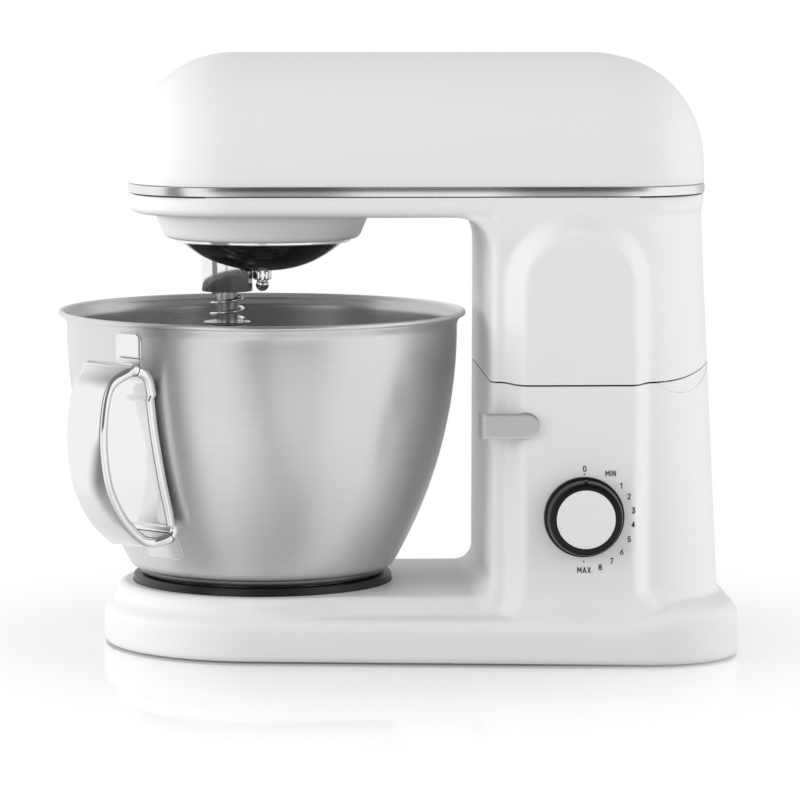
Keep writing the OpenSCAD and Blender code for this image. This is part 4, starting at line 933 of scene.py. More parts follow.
def trim_strip():
    """Bright strip round the head, slightly rounded, with a dark joint above and below."""
    low, high, deep, proud = BAND_LOW + 0.5, BAND_TOP - 0.1, 2.4, 0.4
    lower = [(deep, low), (0.5 - proud, low), (0.12 - proud, low + 0.2), (-proud, low + 0.8)]
    upper = [(-proud, high - 0.8), (0.12 - proud, high - 0.2), (0.5 - proud, high), (deep, high)]
    section = lower + [(-proud - 0.04, (low + high) / 2)] + upper
    points, faces = section_loop(lambda inset: head_outline(inset, 256), section)
    # the strip's look has painted reflections in its base colour
    obj = mesh_piece("trim_strip", points, faces, "head", "bright_band", "trim_metal", crease=32)
    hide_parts("trim_band")
    joint = [(0.8, BAND_LOW - 0.3), (0.8, BAND_TOP), (2.2, BAND_TOP), (2.2, BAND_LOW - 0.3)]
    points, faces = section_loop(lambda inset: head_outline(inset, 128), joint)
    mesh_piece("trim_backing", points, faces, "head", "black_plastic", crease=32)


def bright_ring():
    """Bright ring round the dome, with rounded lower edges."""
    outer, inner = radius_of("collar_ring"), radius_of("planet_carrier") + 0.7
    low, high = RING_Z, ring_high.z
    profile = [(inner, high), (inner, low + 0.5), (inner + 0.5, low), (outer - 0.9, low),
               (outer - 0.25, low + 0.3), (outer, low + 0.9), (outer, high)]
    obj = turned("bright_ring", profile, "head", "bright_band", (BOWL_X, 0, 0), "chrome", closed=True)
    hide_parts("collar_ring")


def carrier_dome():
    """Gloss dome with the hole of the spindle and a small peg beside it."""
    dome_low, dome_high = span("planet_carrier")
    r = radius_of("planet_carrier")
    depth = RING_Z - dome_low.z + 0.6
    profile = [(r - 2, dome_high.z), (r - 0.2, dome_high.z), (r, dome_high.z - 0.4)]
    profile += [(r * t, dome_low.z + depth * t ** 2.45) for t in 1 - np.linspace(0, 1, 44)[:-1] ** 1.5]
    obj = turned("carrier_dome", profile, "carrier", "gloss_black", (BOWL_X, 0, 0), segments=160)
    hole = radius_of("spindle_sleeve") + 0.25
    trim_away(obj, lambda x, y, z: np.where(z < RING_Z + 3, hole - np.hypot(x - SPINDLE_X, y), -1.0))
    smooth_shading(obj, 35)
    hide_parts("planet_carrier")
    peg_r, ball_z = 3.6, dome_low.z + 3.6
    peg = [(peg_r, dome_low.z + 13), (peg_r, ball_z)] + arc(0, ball_z, peg_r, 0, -86, 7)
    turned("carrier_peg", peg, "carrier", "gloss_black", (BOWL_X - 7.6, -12.5, 0), segments=40)


def dome_nut():
    """Acorn nut: chamfered hexagon, neck and ball end."""
    nut_low, nut_high = span("cap_nut")
    top, foot = nut_high.z, nut_low.z + 0.1
    flats, ball, count, sixth = 4.55, 3.7, 96, math.pi / 3
    hex_low, whole = top - 5.0, 2 * flats
    rings = []
    for z, limit in ((top, flats + 0.05), (top - 0.5, whole), (hex_low + 0.7, whole), (hex_low, flats)):
        rings.append([])
        for k in range(count):
            a = 2 * math.pi * k / count
            r = min(flats / math.cos((a + sixth / 2) % sixth - sixth / 2), max(limit, flats))
            rings[-1].append((BOWL_X + r * math.cos(a + sixth / 2), r * math.sin(a + sixth / 2), z))
    ball_end = arc(0, foot + ball, ball, 62, -88, 14)
    for r, z in [(4.2, hex_low - 0.05), (3.35, hex_low - 0.5)] + ball_end:
        rings.append([(BOWL_X + x, y, z) for x, y in circle(r, count)])
    points, faces = loft(rings)
    points[-1] = (BOWL_X, 0, foot)
    obj = mesh_piece("dome_nut", points, faces, "carrier", "chrome", crease=25)
    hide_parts("cap_nut")


def spindle_tube():
    """Bright sleeve with a rounded lip and a dark seal inside it."""
    sleeve_low, sleeve_high = span("spindle_sleeve")
    low, outer = sleeve_low.z, radius_of("spindle_sleeve")
    inner = outer - 3.8
    sleeve = [(inner, sleeve_high.z), (inner, low + 2.4), (outer - 1.6, low + 2.4), (outer - 1.2, low + 0.2),
              (outer - 0.7, low), (outer - 0.2, low + 0.15), (outer, low + 0.7), (outer, sleeve_high.z)]
    obj = turned("spindle_tube", sleeve, "carrier", "chrome", (SPINDLE_X, 0, 0), closed=True)
    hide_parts("spindle_sleeve")
    seal = [(BORE_R, low + 2.2), (BORE_R, low + 0.6), (outer - 1.9, low + 0.35), (outer - 1.5, low + 0.7),
            (outer - 1.7, low + 2.2)]
    turned("spindle_seal", seal, "carrier", "gloss_black", (SPINDLE_X, 0, 0), closed=True)


def tool_spring():
    """Tapered coil that presses on the tool."""
    spring_low, spring_high = span("spindle_spring")
    wire, turns, steps = 0.85, 3.5, 32
    low, high = spring_low.z + wire, spring_high.z - wire
    path = []
    for i in range(int(turns * steps) + 1):
        t, a = i / (turns * steps), 2 * math.pi * i / steps
        r = 9.4 - 2.2 * t
        path.append(Vector((SPINDLE_X + r * math.cos(a), r * math.sin(a), low + (high - low) * t)))
    points, faces = tube(path, lambda i: circle(wire, 10))
    obj = mesh_piece("tool_spring", points, faces, "spindle", "zinc_steel", "chrome", crease=60)
    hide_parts("spindle_spring")


def tool_washer():
    """Washer with broken edges between the spring and the tool."""
    low, high, r = washer_low.z, washer_high.z, radius_of("spindle_washer")
    disc = [(BORE_R, high), (BORE_R, low), (r - 0.4, low), (r, low + 0.3), (r, high - 0.3), (r - 0.4, high)]
    obj = turned("tool_washer", disc, "tool", "spindle_steel", (SPINDLE_X, 0, 0), closed=True)
    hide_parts("spindle_washer")


def beater_field(x, y, z):
    """Flat beater: a rounded frame with a stem and crossed ribs."""
    low, half_w = beater_low.z, radius_of("flat_beater")
    x = x - SPINDLE_X
    foot_z, belly_z, hub_z = low + 20, low + 62, washer_low.z - 24
    belly = np.hypot(x, z - belly_z) - half_w
    foot = capsule(x, z, -14, foot_z, 14, foot_z, r=20)
    flank = (np.abs(x) - half_w) * 0.86 + (belly_z - z) * 0.36
    blade = any_of(belly, foot, all_of(flank, z - belly_z, foot_z - z))
    blade = np.maximum(blade, z - hub_z + 2)
    frame_bar = np.abs(blade + FRAME_HALF_W) - FRAME_HALF_W
    stem = capsule(x, z, 0, low + 8, 0, beater_high.z - 6, r=3.4)
    rising = capsule(x, z, -38, low + 32, 38, low + 74, r=3.0)
    falling = capsule(x, z, -38, low + 74, 38, low + 32, r=3.0)
    ribs = np.maximum(any_of(stem, rising, falling), blade + 3)
    plate = round_and(np.minimum(frame_bar, ribs), np.abs(y) - PLATE_HALF_T, r=2.4)
    neck = np.hypot(x, y) - HUB_R + np.maximum(hub_z - z, 0) * 0.35
    return round_or(plate, all_of(neck, z - washer_low.z + 0.3, hub_z - 20 - z), r=4.0)


def beater_blade():
    """The beater with the bore for its shaft."""
    low = (beater_low.x - 2, -14, beater_low.z - 2)
    high = (beater_high.x + 2, 14, beater_high.z + 2)
    points, quads = net_surface(beater_field, low, high, 1.4)
    obj = mesh_piece("beater_blade", points, quads, "tool", "beater_alloy")
    trim_away(obj, lambda x, y, z: np.where(z > washer_low.z - 29, BORE_R - np.hypot(x - SPINDLE_X, y), -1.0))
    smooth_shading(obj, 50)
    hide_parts("flat_beater")


# ------------------------------------------------------------------ bowl


def wall_radius(z):
    """Outside radius of the bowl's wall at a height: a flat arc from its bottom to the rim."""
    dr, dz = WALL_TOP_R - WALL_LOW_R, WALL_TOP_Z - WALL_LOW_Z
    chord = math.hypot(dr, dz)
    back = math.sqrt(WALL_CURVE ** 2 - chord ** 2 / 4)
    cr = (WALL_TOP_R + WALL_LOW_R) / 2 - dz / chord * back
    cz = (WALL_TOP_Z + WALL_LOW_Z) / 2 + dr / chord * back
    return cr + math.sqrt(WALL_CURVE ** 2 - (z - cz) ** 2)


def bowl_body():
    """Turned sheet bowl with a rolled rim; the inside has its own brushing and a darker base colour as
    painted shade.
    """
    sheet, roll, corner = 1.0, 1.45, 5
    rim_z, neck_r, floor_r = bowl_high.z, RIM_R - 2 * roll, WALL_LOW_R - corner
    heights = np.linspace(WALL_LOW_Z + corner, WALL_TOP_Z, 44)
    outside = [(floor_r, WALL_LOW_Z)] + arc(floor_r, WALL_LOW_Z + corner, corner, -75, -22, 5)
    outside += [(wall_radius(z), z) for z in heights]
    flare = []
    for t in np.linspace(0.15, 1, 8):
        ease = t * t * (3 - 2 * t)
        flare.append((WALL_TOP_R + (neck_r - WALL_TOP_R) * ease,
                      WALL_TOP_Z + t * (rim_z - roll - WALL_TOP_Z - 0.6)))
    rim = arc(RIM_R - roll, rim_z - roll, roll, -150, 150, 18)
    inside = [(neck_r - sheet, rim_z - roll - 1.0)] + [(r - sheet, z + 0.4) for r, z in flare[::-1][1:]]
    inside += [(wall_radius(z) - sheet, z) for z in heights[::-1][:-2]]
    inside += arc(floor_r, WALL_LOW_Z + corner + sheet, corner, -22, -90, 6)
    inside += [(floor_r * t, WALL_LOW_Z + sheet) for t in (0.8, 0.5, 0.2, 0.02)]
    under = [(floor_r * t, WALL_LOW_Z) for t in (0.02, 0.5, 0.85)]
    profile = under + outside + flare + rim + inside
    obj = turned("bowl_body", profile, "bowl_set", "brushed_steel", (BOWL_X, 0, 0), segments=192)
    # inner faces take the darker copy of the steel as painted shade
    obj.data.materials.append(MATERIALS["bowl_inside_painted_shade"])
    for face in obj.data.polygons:
        centre, normal = face.center / MM, face.normal
        inwards = (centre.x - BOWL_X) * normal.x + centre.y * normal.y < 0
        if (inwards or (normal.z > 0.9 and centre.z < WALL_LOW_Z + 10)) and centre.z < rim_z - 1.0:
            face.material_index = 1
    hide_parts("bowl")


def rounded_strap(half_w, half_t, r, crown):
    """Closed section of a strap with round edges, crowned on its outer face."""
    section = []
    for turn, sx, sy in ((0, 1, 1), (90, -1, 1), (180, -1, -1), (270, 1, -1)):
        section += arc(sx * (half_w - r), sy * (half_t - r), r, turn, turn + 90, 5)
    return [(a, b + (crown * (1 - (a / half_w) ** 2) if b > 0 else 0)) for a, b in section]


def smooth_closed(corners, count):
    """Points evenly spaced on a closed curve through the given points."""
    c = np.array(corners, float)
    n = len(c)
    dense = []
    for i in range(n):
        p0, p1, p2, p3 = c[i - 1], c[i], c[(i + 1) % n], c[(i + 2) % n]
        for t in np.linspace(0, 1, 24, endpoint=False):
            dense.append(0.5 * (2 * p1 + (p2 - p0) * t + (2 * p0 - 5 * p1 + 4 * p2 - p3) * t * t
                                + (3 * p1 - p0 - 3 * p2 + p3) * t ** 3))
    dense = np.array(dense + dense[:1])
    run = np.concatenate([[0], np.cumsum(np.hypot(*np.diff(dense, axis=0).T))])
    at = np.linspace(0, run[-1], count, endpoint=False)
    return np.stack([np.interp(at, run, dense[:, 0]), np.interp(at, run, dense[:, 1])], 1)


def bowl_grip():
    """Closed loop of formed strap, wide where it lies on the bowl's wall."""
    out = Vector((math.cos(HANDLE_ANGLE), math.sin(HANDLE_ANGLE), 0))
    side = Vector((-out.y, out.x, 0))
    low, high = 62.0, 163.0
    top, foot, reach = high - 3, low + 3, WALL_TOP_R + 34.8
    outer = [(reach - 20, top - 0.6), (reach - 9, top - 8), (reach - 4.2, top - 21), (reach - 2.9, top - 40),
             (reach - 7, top - 62), (reach - 18, foot + 15), (reach - 32, foot + 3)]
    on_wall = [(foot + 14, 4.6), (foot + 36, 3.6), (foot + 62, 3.6), (top - 13, 4.2)]
    path = [(wall_radius(top) + 7, top - 3.5), (wall_radius(top) + 15, top + 0.5)] + outer
    path += [(wall_radius(foot) + 19, foot + 0.8), (wall_radius(foot) + 10, foot + 4.5)]
    path += [(wall_radius(z) + gap, z) for z, gap in on_wall]
    loop = smooth_closed(path, 176)
    spine = [Vector((BOWL_X, 0, z)) + out * r for r, z in loop]
    sections = []
    for r, z in loop:
        near = float(smooth_step((wall_radius(z) + 30 - r) / 26))
        bend = near / (2 * wall_radius(z)) if 75 < z < 145 and r < wall_radius(z) + 12 else 0.0
        section = rounded_strap(13.6 + 7.4 * near, 2.7 + 0.4 * near, 2.5, 0.9 - 0.6 * near)
        sections.append([(a, b + bend * a * a) for a, b in section])
    points, faces = tube(spine, lambda i: sections[i], closed=True, side=side)
    obj = mesh_piece("bowl_grip", points, faces, "bowl_set", "chrome", crease=60)
    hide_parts("bowl_handle")
    for name, r, z in (("grip_joint_upper", wall_radius(top) + 13, top),
                       ("grip_joint_lower", wall_radius(foot) + 12, foot + 3)):
        joint_line(name, spine, sections, int(np.argmin(np.hypot(loop[:, 0] - r, loop[:, 1] - z))), side)
    tab_plate("grip_tab_upper", high - 4, high + 14.5, 9.2)
    tab_plate("grip_tab_lower", low - 9, low + 8, 13.0)


def joint_line(name, spine, sections, at, side):
    """Fine dark joint round the strap where its formed end begins."""
    out = side.cross((spine[at + 1] - spine[at - 1]).normalized()).normalized()
    ring = [spine[at] + side * a + out * b * 1.01 for a, b in sections[at]]
    points, faces = tube(ring, lambda i: circle(0.28, 6), closed=True)
    mesh_piece(name, points, faces, "bowl_set", "gloss_black", crease=60)


def tab_plate(name, low, high, half_w):
    """Thin plate with round upper corners, bent to the bowl's wall."""
    rows, cols, corner = 14, 12, 3.0
    points = []
    for i in range(rows + 1):
        z = low + (high - low) * i / rows
        r = wall_radius(min(z, WALL_TOP_Z)) + 0.9
        into = corner - min(high - z, corner)
        width = half_w - corner + math.sqrt(max(corner ** 2 - into ** 2, 0))
        for k in range(cols + 1):
            a = HANDLE_ANGLE + (2 * width * k / cols - width) / r
            points.append((BOWL_X + r * math.cos(a), r * math.sin(a), z))
    faces = quads_between(rows + 1, cols + 1, round_rows=False)
    obj = mesh_piece(name, points, faces, "bowl_set", "chrome")
    thicken(obj, 1.0)
    soften_edges(obj, 0.35)
    apply_modifiers(obj)
    crease_shading(obj, 50)


# ------------------------------------------------------------------ controls


def dial():
    """Black base ring, knob with a chamfered front and satin cap."""
    centre = (PANEL_X, 0, DIAL_Z)
    base_r, face = radius_of("dial_ring"), PANEL_Y
    ring = [(9.0, face - 1.0), (9.0, face + 2.9), (base_r - 0.9, face + 2.9), (base_r - 0.2, face + 2.5),
            (base_r, face + 1.8), (base_r, face + 0.02), (base_r - 1, face)]
    obj = turned("dial_base", ring, "base", "dial_black", centre, facing=True, closed=True)
    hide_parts("dial_ring")
    knob_low, knob_high = span("dial_knob")
    back, front = -knob_high.y, -knob_low.y
    knob_r, cap_r = radius_of("dial_knob"), radius_of("dial_cap")
    knob = [(3.2, back + 0.2), (knob_r - 0.6, back), (knob_r, back + 0.6), (knob_r, back + 1.6),
            (knob_r - 0.5, back + 2.0), (knob_r - 0.5, back + 2.5), (knob_r - 0.15, back + 2.9),
            (knob_r - 0.8, front - 1.5), (knob_r - 1.2, front - 0.45), (knob_r - 2.0, front),
            (cap_r + 0.35, front - 0.1), (cap_r + 0.15, front - 0.4), (cap_r + 0.1, front - 1.2),
            (3.2, front - 1.2)]
    obj = turned("dial_grip", knob, "dial", "dial_black", centre, facing=True, closed=True)
    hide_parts("dial_knob")
    top = -span("dial_cap")[0].y
    cap = [(0.4, top - 1.5), (cap_r - 0.1, top - 1.5), (cap_r, top - 0.5), (cap_r - 0.25, top - 0.12),
           (cap_r - 0.7, top - 0.02), (cap_r - 1.2, top - 0.16), (cap_r - 3, top - 0.24),
           (cap_r * 0.6, top - 0.12), (cap_r * 0.3, top - 0.04), (0.4, top)]
    obj = turned("dial_disc", cap, "dial", "satin_silver", centre, "cap_silver", facing=True)
    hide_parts("dial_cap")
    low, high = DIAL_Z + knob_r - 1.25, DIAL_Z + knob_r + 0.15
    mark = [(PANEL_X - 1.1, low), (PANEL_X + 1.1, low), (PANEL_X + 0.9, high), (PANEL_X - 0.9, high)]
    points, faces = slab(mark, back + 2.6, front - 1.2)
    mesh_piece("dial_mark", points, faces, "dial", "dial_black", crease=30)


PRINT_H = 0.07


def print_piece(name, outlines):
    """Thin raised print on the panel."""
    points, faces = [], []
    for outline in outlines:
        more, sides = slab(outline, PANEL_Y, PANEL_Y + PRINT_H)
        faces += [[len(points) + i for i in side] for side in sides]
        points += more
    mesh_piece(name, points, faces, "base", "dial_black", "print_grey", crease=30)


ROUND_8 = [(0.25, 0.53), (0.06, 0.62), (0.03, 0.8), (0.1, 0.95), (0.25, 1), (0.4, 0.95), (0.47, 0.8),
           (0.44, 0.62), (0.25, 0.53), (0.05, 0.43), (0, 0.24), (0.07, 0.06), (0.25, 0), (0.43, 0.06),
           (0.5, 0.24), (0.45, 0.43), (0.25, 0.53)]
STROKES = {
    "0": [[(0, 0.25), (0, 0.75), (0.1, 0.95), (0.25, 1), (0.4, 0.95), (0.5, 0.75), (0.5, 0.25), (0.4, 0.05),
           (0.25, 0), (0.1, 0.05), (0, 0.25)]],
    "1": [[(0.06, 0.78), (0.3, 1), (0.3, 0)]],
    "2": [[(0, 0.76), (0.07, 0.93), (0.25, 1), (0.43, 0.93), (0.5, 0.74), (0.4, 0.5), (0, 0), (0.5, 0)]],
    "3": [[(0, 1), (0.48, 1), (0.2, 0.6), (0.4, 0.55), (0.5, 0.32), (0.43, 0.08), (0.25, 0), (0.07, 0.06),
           (0, 0.22)]],
    "4": [[(0.38, 0), (0.38, 1), (0, 0.28), (0.54, 0.28)]],
    "5": [[(0.48, 1), (0.06, 1), (0.03, 0.55), (0.25, 0.62), (0.44, 0.52), (0.5, 0.3), (0.42, 0.07),
           (0.22, 0), (0.04, 0.07), (0, 0.22)]],
    "6": [[(0.38, 1), (0.1, 0.55), (0, 0.3), (0.07, 0.07), (0.25, 0), (0.43, 0.07), (0.5, 0.3), (0.42, 0.52),
           (0.25, 0.58), (0.08, 0.5)]],
    "7": [[(0, 1), (0.5, 1), (0.17, 0)]],
    "8": [ROUND_8],
    "M": [[(0, 0), (0, 1), (0.33, 0.35), (0.66, 1), (0.66, 0)]],
    "I": [[(0, 0), (0, 1)]],
    "N": [[(0, 0), (0, 1), (0.5, 0), (0.5, 1)]],
    "A": [[(0, 0), (0.3, 1), (0.6, 0)], [(0.1, 0.3), (0.5, 0.3)]],
    "X": [[(0, 0), (0.52, 1)], [(0.52, 0), (0, 1)]]}


def label(name, words, x, z):
    """Generic lettering of even strokes, centred on x and z."""
    cap_h, gap, pen = 2.75, 0.36, 0.27
    widths = [max(a for line in STROKES[c] for a, _ in line) for c in words]
    start = -(sum(widths) + gap * (len(words) - 1)) / 2
    outlines = []
    for c, wide in zip(words, widths):
        for line in STROKES[c]:
            spots = [Vector((x + (start + a) * cap_h, z + (b - 0.5) * cap_h)) for a, b in line]
            for p, q in zip(spots, spots[1:]):
                along = (q - p).normalized() * pen
                over = Vector((-along.y, along.x))
                p, q = p - along * 0.7, q + along * 0.7
                outlines.append([tuple(v) for v in (p - over, q - over, q + over, p + over)])
        start += wide + gap
    print_piece(name, outlines)


def dial_print():
    """Words, numbers and dots round the dial."""
    label("label_off", "0", PANEL_X + 0.2, DIAL_Z + 26.0)
    label("label_min", "MIN", PANEL_X + 14.2, DIAL_Z + 23.4)
    label("label_max", "MAX", PANEL_X + 0.2, DIAL_Z - 28.9)
    numbers = ((49.9, 25.9), (65.8, 26.6), (83.0, 26.9), (99.2, 27.0), (116.6, 27.4), (133.0, 28.0),
               (148.0, 28.4), (162.0, 28.8))
    for number, (angle, r) in enumerate(numbers, 1):
        a = math.radians(angle)
        label("label_%d" % number, str(number), PANEL_X + r * math.sin(a), DIAL_Z + r * math.cos(a))
    for name, z in (("dot_off", DIAL_Z + 23.0), ("dot_max", DIAL_Z - 24.3)):
        print_piece(name, [[(PANEL_X + a, z + b) for a, b in circle(0.45, 16)]])


def release_bar():
    """Bent satin bar: round end at the pivot, front end bent round the column's corner."""
    low, high = span("release_lever")
    half_h, bend, cols = (high.z - low.z) / 2, 3.0, 8
    flange = min(high.y - low.y, 14.0) - bend
    flat = LEVER_X + half_h - low.x - bend
    turn = math.pi / 2 * bend
    stops = [0.02] + list(half_h * (1 - np.cos(np.linspace(0, math.pi / 2, 14))))[1:]
    stops += list(np.linspace(half_h + 1.5, flat, 8))
    stops += [flat + turn * t for t in (0.15, 0.3, 0.45, 0.6, 0.75, 0.9, 1.0)]
    stops += [flat + turn + flange * t for t in (0.3, 0.65, 1.0)]
    points = []
    for s in stops:
        reach = half_h if s > half_h else math.sqrt(max(half_h ** 2 - (half_h - s) ** 2, 0.0))
        a = min(max(s - flat, 0.0), turn) / bend
        x = LEVER_X + half_h - s if s <= flat else low.x + bend - bend * math.sin(a)
        y = low.y + bend - bend * math.cos(a) + max(s - flat - turn, 0.0)
        points += [(x, y, LEVER_Z - reach + 2 * reach * k / cols) for k in range(cols + 1)]
    faces = quads_between(len(stops), cols + 1, round_rows=False)
    obj = mesh_piece("release_bar", points, faces, "lever", "satin_silver")
    # the rounded edges take a dark colour as painted reflection
    obj.data.materials.append(MATERIALS["edge_painted_reflection"])
    thicken(obj, 1.6, 1 if obj.data.polygons[40].normal.y > 0 else -1)
    soften_edges(obj, 0.75, 50, material=1)
    apply_modifiers(obj)
    crease_shading(obj, 24)
    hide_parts("release_lever")


# ------------------------------------------------------------------ hidden closures of the shells


BRACKET_Y = 34.0
INNER_GAP = 3.4


def inner_floor(name, body, slot, field, low_z, high_z):
    """A floor of the column, kept within its walls."""
    def kept(x, y, z):
        """The floor inside the column's walls."""
        return np.maximum(column_field(x, y, z) + INNER_GAP, field(x, y, z, from_hinge(x, z)))
    points, quads = net_surface(kept, (FRONT_X, -COLUMN_HALF_W, low_z), (BACK_X, COLUMN_HALF_W, high_z), 1.6)
    mesh_piece(name, points, quads, body, slot, smooth=False)


def column_deck():
    """Deck on top of the fixed column, with the trough of the hinge barrel."""
    def field(x, y, z, r):
        """Deck and trough, open for the hinge brackets and the hook."""
        deck = np.maximum(np.abs(z - SEAM_Z + 2.4) - 1.4, 21.2 - r)
        trough = np.maximum(np.abs(r - 21.1) - 1.0, z - SEAM_Z + 1)
        slot = np.maximum(block(x, np.abs(y), HINGE_X, BRACKET_Y, 8.4, 4.4), z - SEAM_Z)
        hook = block(x, y, STRIKER_X, STRIKER_Y, 14.5, 8.5)
        return all_of(np.minimum(deck, trough), -slot, -hook)
    inner_floor("column_deck", "base", "black_plastic", field, SEAM_Z - 11, SEAM_Z + 1)


def column_floor():
    """Floor under the tilting column and the tube of its hinge barrel."""
    def field(x, y, z, r):
        """Floor and barrel, open for the hinge brackets and the latch."""
        floor = np.maximum(np.abs(z - SEAM_Z - 2.6) - 1.2, 15.4 - r)
        barrel = np.maximum(np.abs(r - 16.2) - 1.2, z - SEAM_Z - 14)
        slot = np.maximum(np.abs(np.abs(y) - BRACKET_Y) - 4.9, r - 40)
        latch = block(x, y, STRIKER_X, STRIKER_Y, 12, 7)
        return all_of(np.minimum(floor, barrel), -slot * np.where(x > HINGE_X - 20, 1, -1), -latch)
    inner_floor("column_floor", "head", "white_enamel", field, SEAM_Z - 6, SEAM_Z + 15)


def seat_pan():
    """Recess of the base that holds the bowl seat."""
    r, floor_z, top_z = SEAT_R + 0.45, seat_low.z - 0.1, PLATFORM_Z - 2.2
    pan = [(0.5, floor_z), (r, floor_z), (r, top_z), (r + 1.4, top_z), (r + 1.4, floor_z - 1.6),
           (0.5, floor_z - 1.6)]
    turned("seat_pan", pan, "base", "white_enamel", (BOWL_X, 0, 0))


def seat_ring():
    """Black locking ring under the bowl, with round edges."""
    r, inner, low, high = SEAT_R, SEAT_R - 8.2, seat_low.z, seat_high.z
    ring = [(inner, low), (r - 0.3, low), (r, low + 0.4), (r, high - 1.2), (r - 0.35, high - 0.35),
            (r - 1.2, high), (inner + 0.6, high), (inner, high - 0.6)]
    obj = turned("seat_ring", ring, "base", "seat_black", (BOWL_X, 0, 0), closed=True)
    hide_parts("bowl_seat")


# ------------------------------------------------------------------ studio


AMBIENT = 0.67
# direction, half width and soft edge in degrees, and depth
CARDS = [(-99, 3, 5, 0.4), (-152, 9, 6, 0.8), (66, 12, 30, 0.4)]
FRONT_CARDS = [(-80, 22, 14, 0.85)]
CEILING = (0.5, 0.95)
FADE_X, FADE_Y, FADE = 0.36, 0.40, (0.26, 1.06)
MIRROR = 0.62
TABLE_HALF, TABLE_CELLS = 6.0, 24
LAMP_AIM = Vector((0, 0, 0.15))


def soft_lamp(name, spot, size, power):
    """Large soft lamp aimed at the object, unseen in reflections."""
    data = bpy.data.lights.new(name, "AREA")
    data.shape = "RECTANGLE"
    data.size, data.size_y = size
    data.energy = power
    lamp = bpy.data.objects.new(name, data)
    lamp.location = spot
    lamp.visible_glossy = False
    lamp.rotation_mode = "QUATERNION"
    lamp.rotation_quaternion = (LAMP_AIM - Vector(spot)).to_track_quat("-Z", "Y")
    bpy.context.scene.collection.objects.link(lamp)


def dark_cards(tree, x, y, table):
    """Soft upright dark bands round the table, seen towards x and y."""
    angle = calc(tree, "ARCTAN2", y, x)
    cards = 0.0
    for centre, half, soft, depth in table:
        away = calc(tree, "ABSOLUTE", calc(tree, "SUBTRACT", angle, math.radians(centre)))
        card = rescale(tree, away, math.radians(half), math.radians(half + soft), depth, 0.0, soft=True)
        cards = calc(tree, "MAXIMUM", cards, card)
    return cards


def studio_world():
    """White for the camera and in reflections, with a few soft dark cards beside the table."""
    world = bpy.data.worlds.new("studio")
    bpy.context.scene.world = world
    world.use_nodes = True
    tree = world.node_tree
    tree.nodes.clear()
    way = add(tree, "SeparateXYZ", {0: add(tree, "TexCoord").outputs["Generated"]}).outputs
    ceiling = rescale(tree, way["Z"], *CEILING, 0.0, 0.8, soft=True)
    cards = calc(tree, "MAXIMUM", dark_cards(tree, way["X"], way["Y"], CARDS + FRONT_CARDS), ceiling)
    seen = rescale(tree, cards, 0.0, 1.0, 1.0, 0.03)
    path = add(tree, "LightPath").outputs
    lit = add(tree, "MixRGB", {"Fac": path["Is Diffuse Ray"], "Color1": seen,
                               "Color2": (AMBIENT, AMBIENT, AMBIENT, 1)})
    shown = add(tree, "MixRGB", {"Fac": path["Is Camera Ray"], "Color1": lit.outputs[0],
                                 "Color2": (1, 1, 1, 1)})
    back = add(tree, "Background", {"Color": shown.outputs[0], "Strength": 1.0})
    add(tree, "OutputWorld", {"Surface": back.outputs[0]})


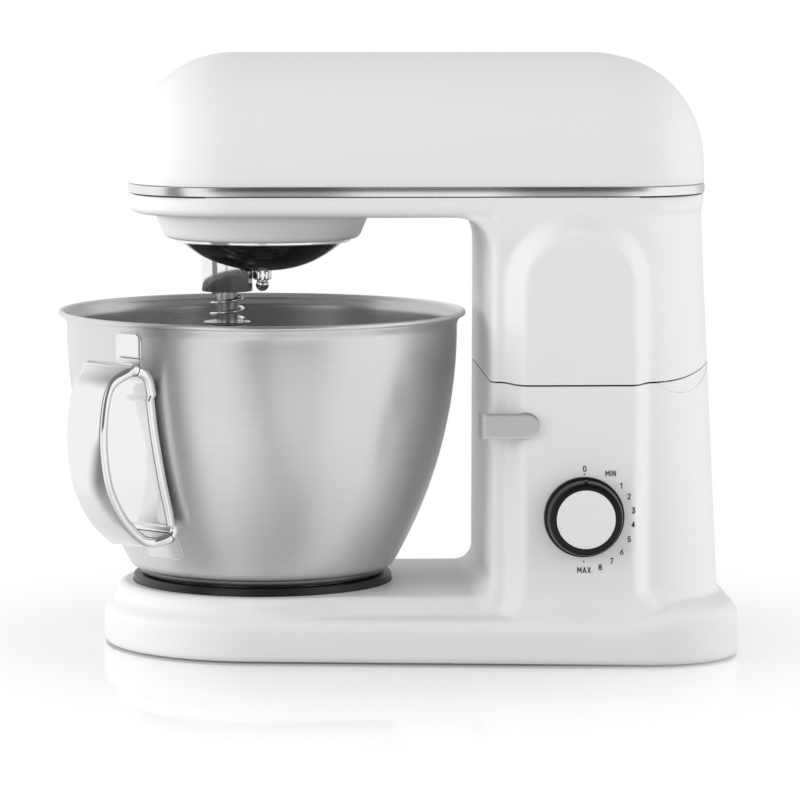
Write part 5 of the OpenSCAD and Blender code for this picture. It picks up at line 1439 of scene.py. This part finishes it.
def table_material():
    """Pale table that keeps the shadow and mirrors the object softly close to it."""
    material = bpy.data.materials.new("table")
    material.use_nodes = True
    tree = material.node_tree
    tree.nodes.clear()
    spot = add(tree, "SeparateXYZ", {0: place(tree)}).outputs
    flat = add(tree, "CombineXYZ", {"X": calc(tree, "DIVIDE", spot["X"], FADE_X),
                                    "Y": calc(tree, "DIVIDE", spot["Y"], FADE_Y), "Z": 0.0})
    far = add(tree, "VectorMath", {0: flat.outputs[0]}, operation="LENGTH").outputs["Value"]
    near = rescale(tree, far, *FADE, 1.0, 0.0, soft=True)
    path = add(tree, "LightPath").outputs
    tone = add(tree, "MixRGB", {"Fac": path["Is Camera Ray"], "Color1": (0.86, 0.86, 0.86, 1),
                                "Color2": (1.2, 1.2, 1.2, 1)})
    matte = add(tree, "BsdfDiffuse", {"Color": tone.outputs[0]})
    dull = rescale(tree, placed_effect(tree, *grain(30.0)), 0.0, 1.0, 0.03, 0.045)
    gloss = add(tree, "BsdfGlossy", {"Color": (1, 1, 1, 1), "Roughness": dull})
    table = add(tree, "MixShader", {"Fac": calc(tree, "MULTIPLY", near, MIRROR), 1: matte.outputs[0],
                                    2: gloss.outputs[0]})
    card = calc(tree, "MULTIPLY", dark_cards(tree, spot["X"], spot["Y"], CARDS), path["Is Glossy Ray"])
    shade = rescale(tree, card, 0.0, 1.0, 1.0, 0.05)
    white = add(tree, "Emission", {"Color": (1, 1, 1, 1), "Strength": shade})
    viewed = calc(tree, "MAXIMUM", path["Is Camera Ray"], path["Is Glossy Ray"])
    glow = calc(tree, "MULTIPLY", rescale(tree, near, 0.0, 1.0, 1.0, 0.1), viewed)
    body = add(tree, "MixShader", {"Fac": glow, 1: table.outputs[0], 2: white.outputs[0]})
    add(tree, "OutputMaterial", {"Surface": body.outputs[0]})
    return material


def studio_floor():
    """The table top, as a net of quads."""
    edges = np.linspace(-TABLE_HALF, TABLE_HALF, TABLE_CELLS + 1)
    points = [(x, y, 0.0) for y in edges for x in edges]
    mesh = bpy.data.meshes.new("table")
    mesh.from_pydata(points, [], quads_between(TABLE_CELLS + 1, TABLE_CELLS + 1, round_rows=False))
    mesh.materials.append(table_material())
    obj = bpy.data.objects.new("table", mesh)
    bpy.context.scene.collection.objects.link(obj)


def studio():
    """White surroundings, table and two soft lamps."""
    bpy.context.scene.view_settings.view_transform = "Standard"
    studio_world()
    studio_floor()
    soft_lamp("left_box", (-2.13, -0.55, 0.5), (1.9, 1.5), 34)
    soft_lamp("right_box", (2.13, -0.5, 0.6), (1.6, 1.4), 16.5)


# ------------------------------------------------------------------ the mixer


def build_mixer():
    """All parts, from the base up to the controls."""
    dress_cad_nodes()
    for part in (base_shell, belly_shell, hinge_cheek, head_shell, column_deck, column_floor, seat_pan,
                 seat_ring, trim_strip, bright_ring, carrier_dome, dome_nut, spindle_tube, tool_spring,
                 tool_washer, beater_blade, bowl_body, bowl_grip, dial, dial_print, release_bar):
        part()


build_mixer()
studio()
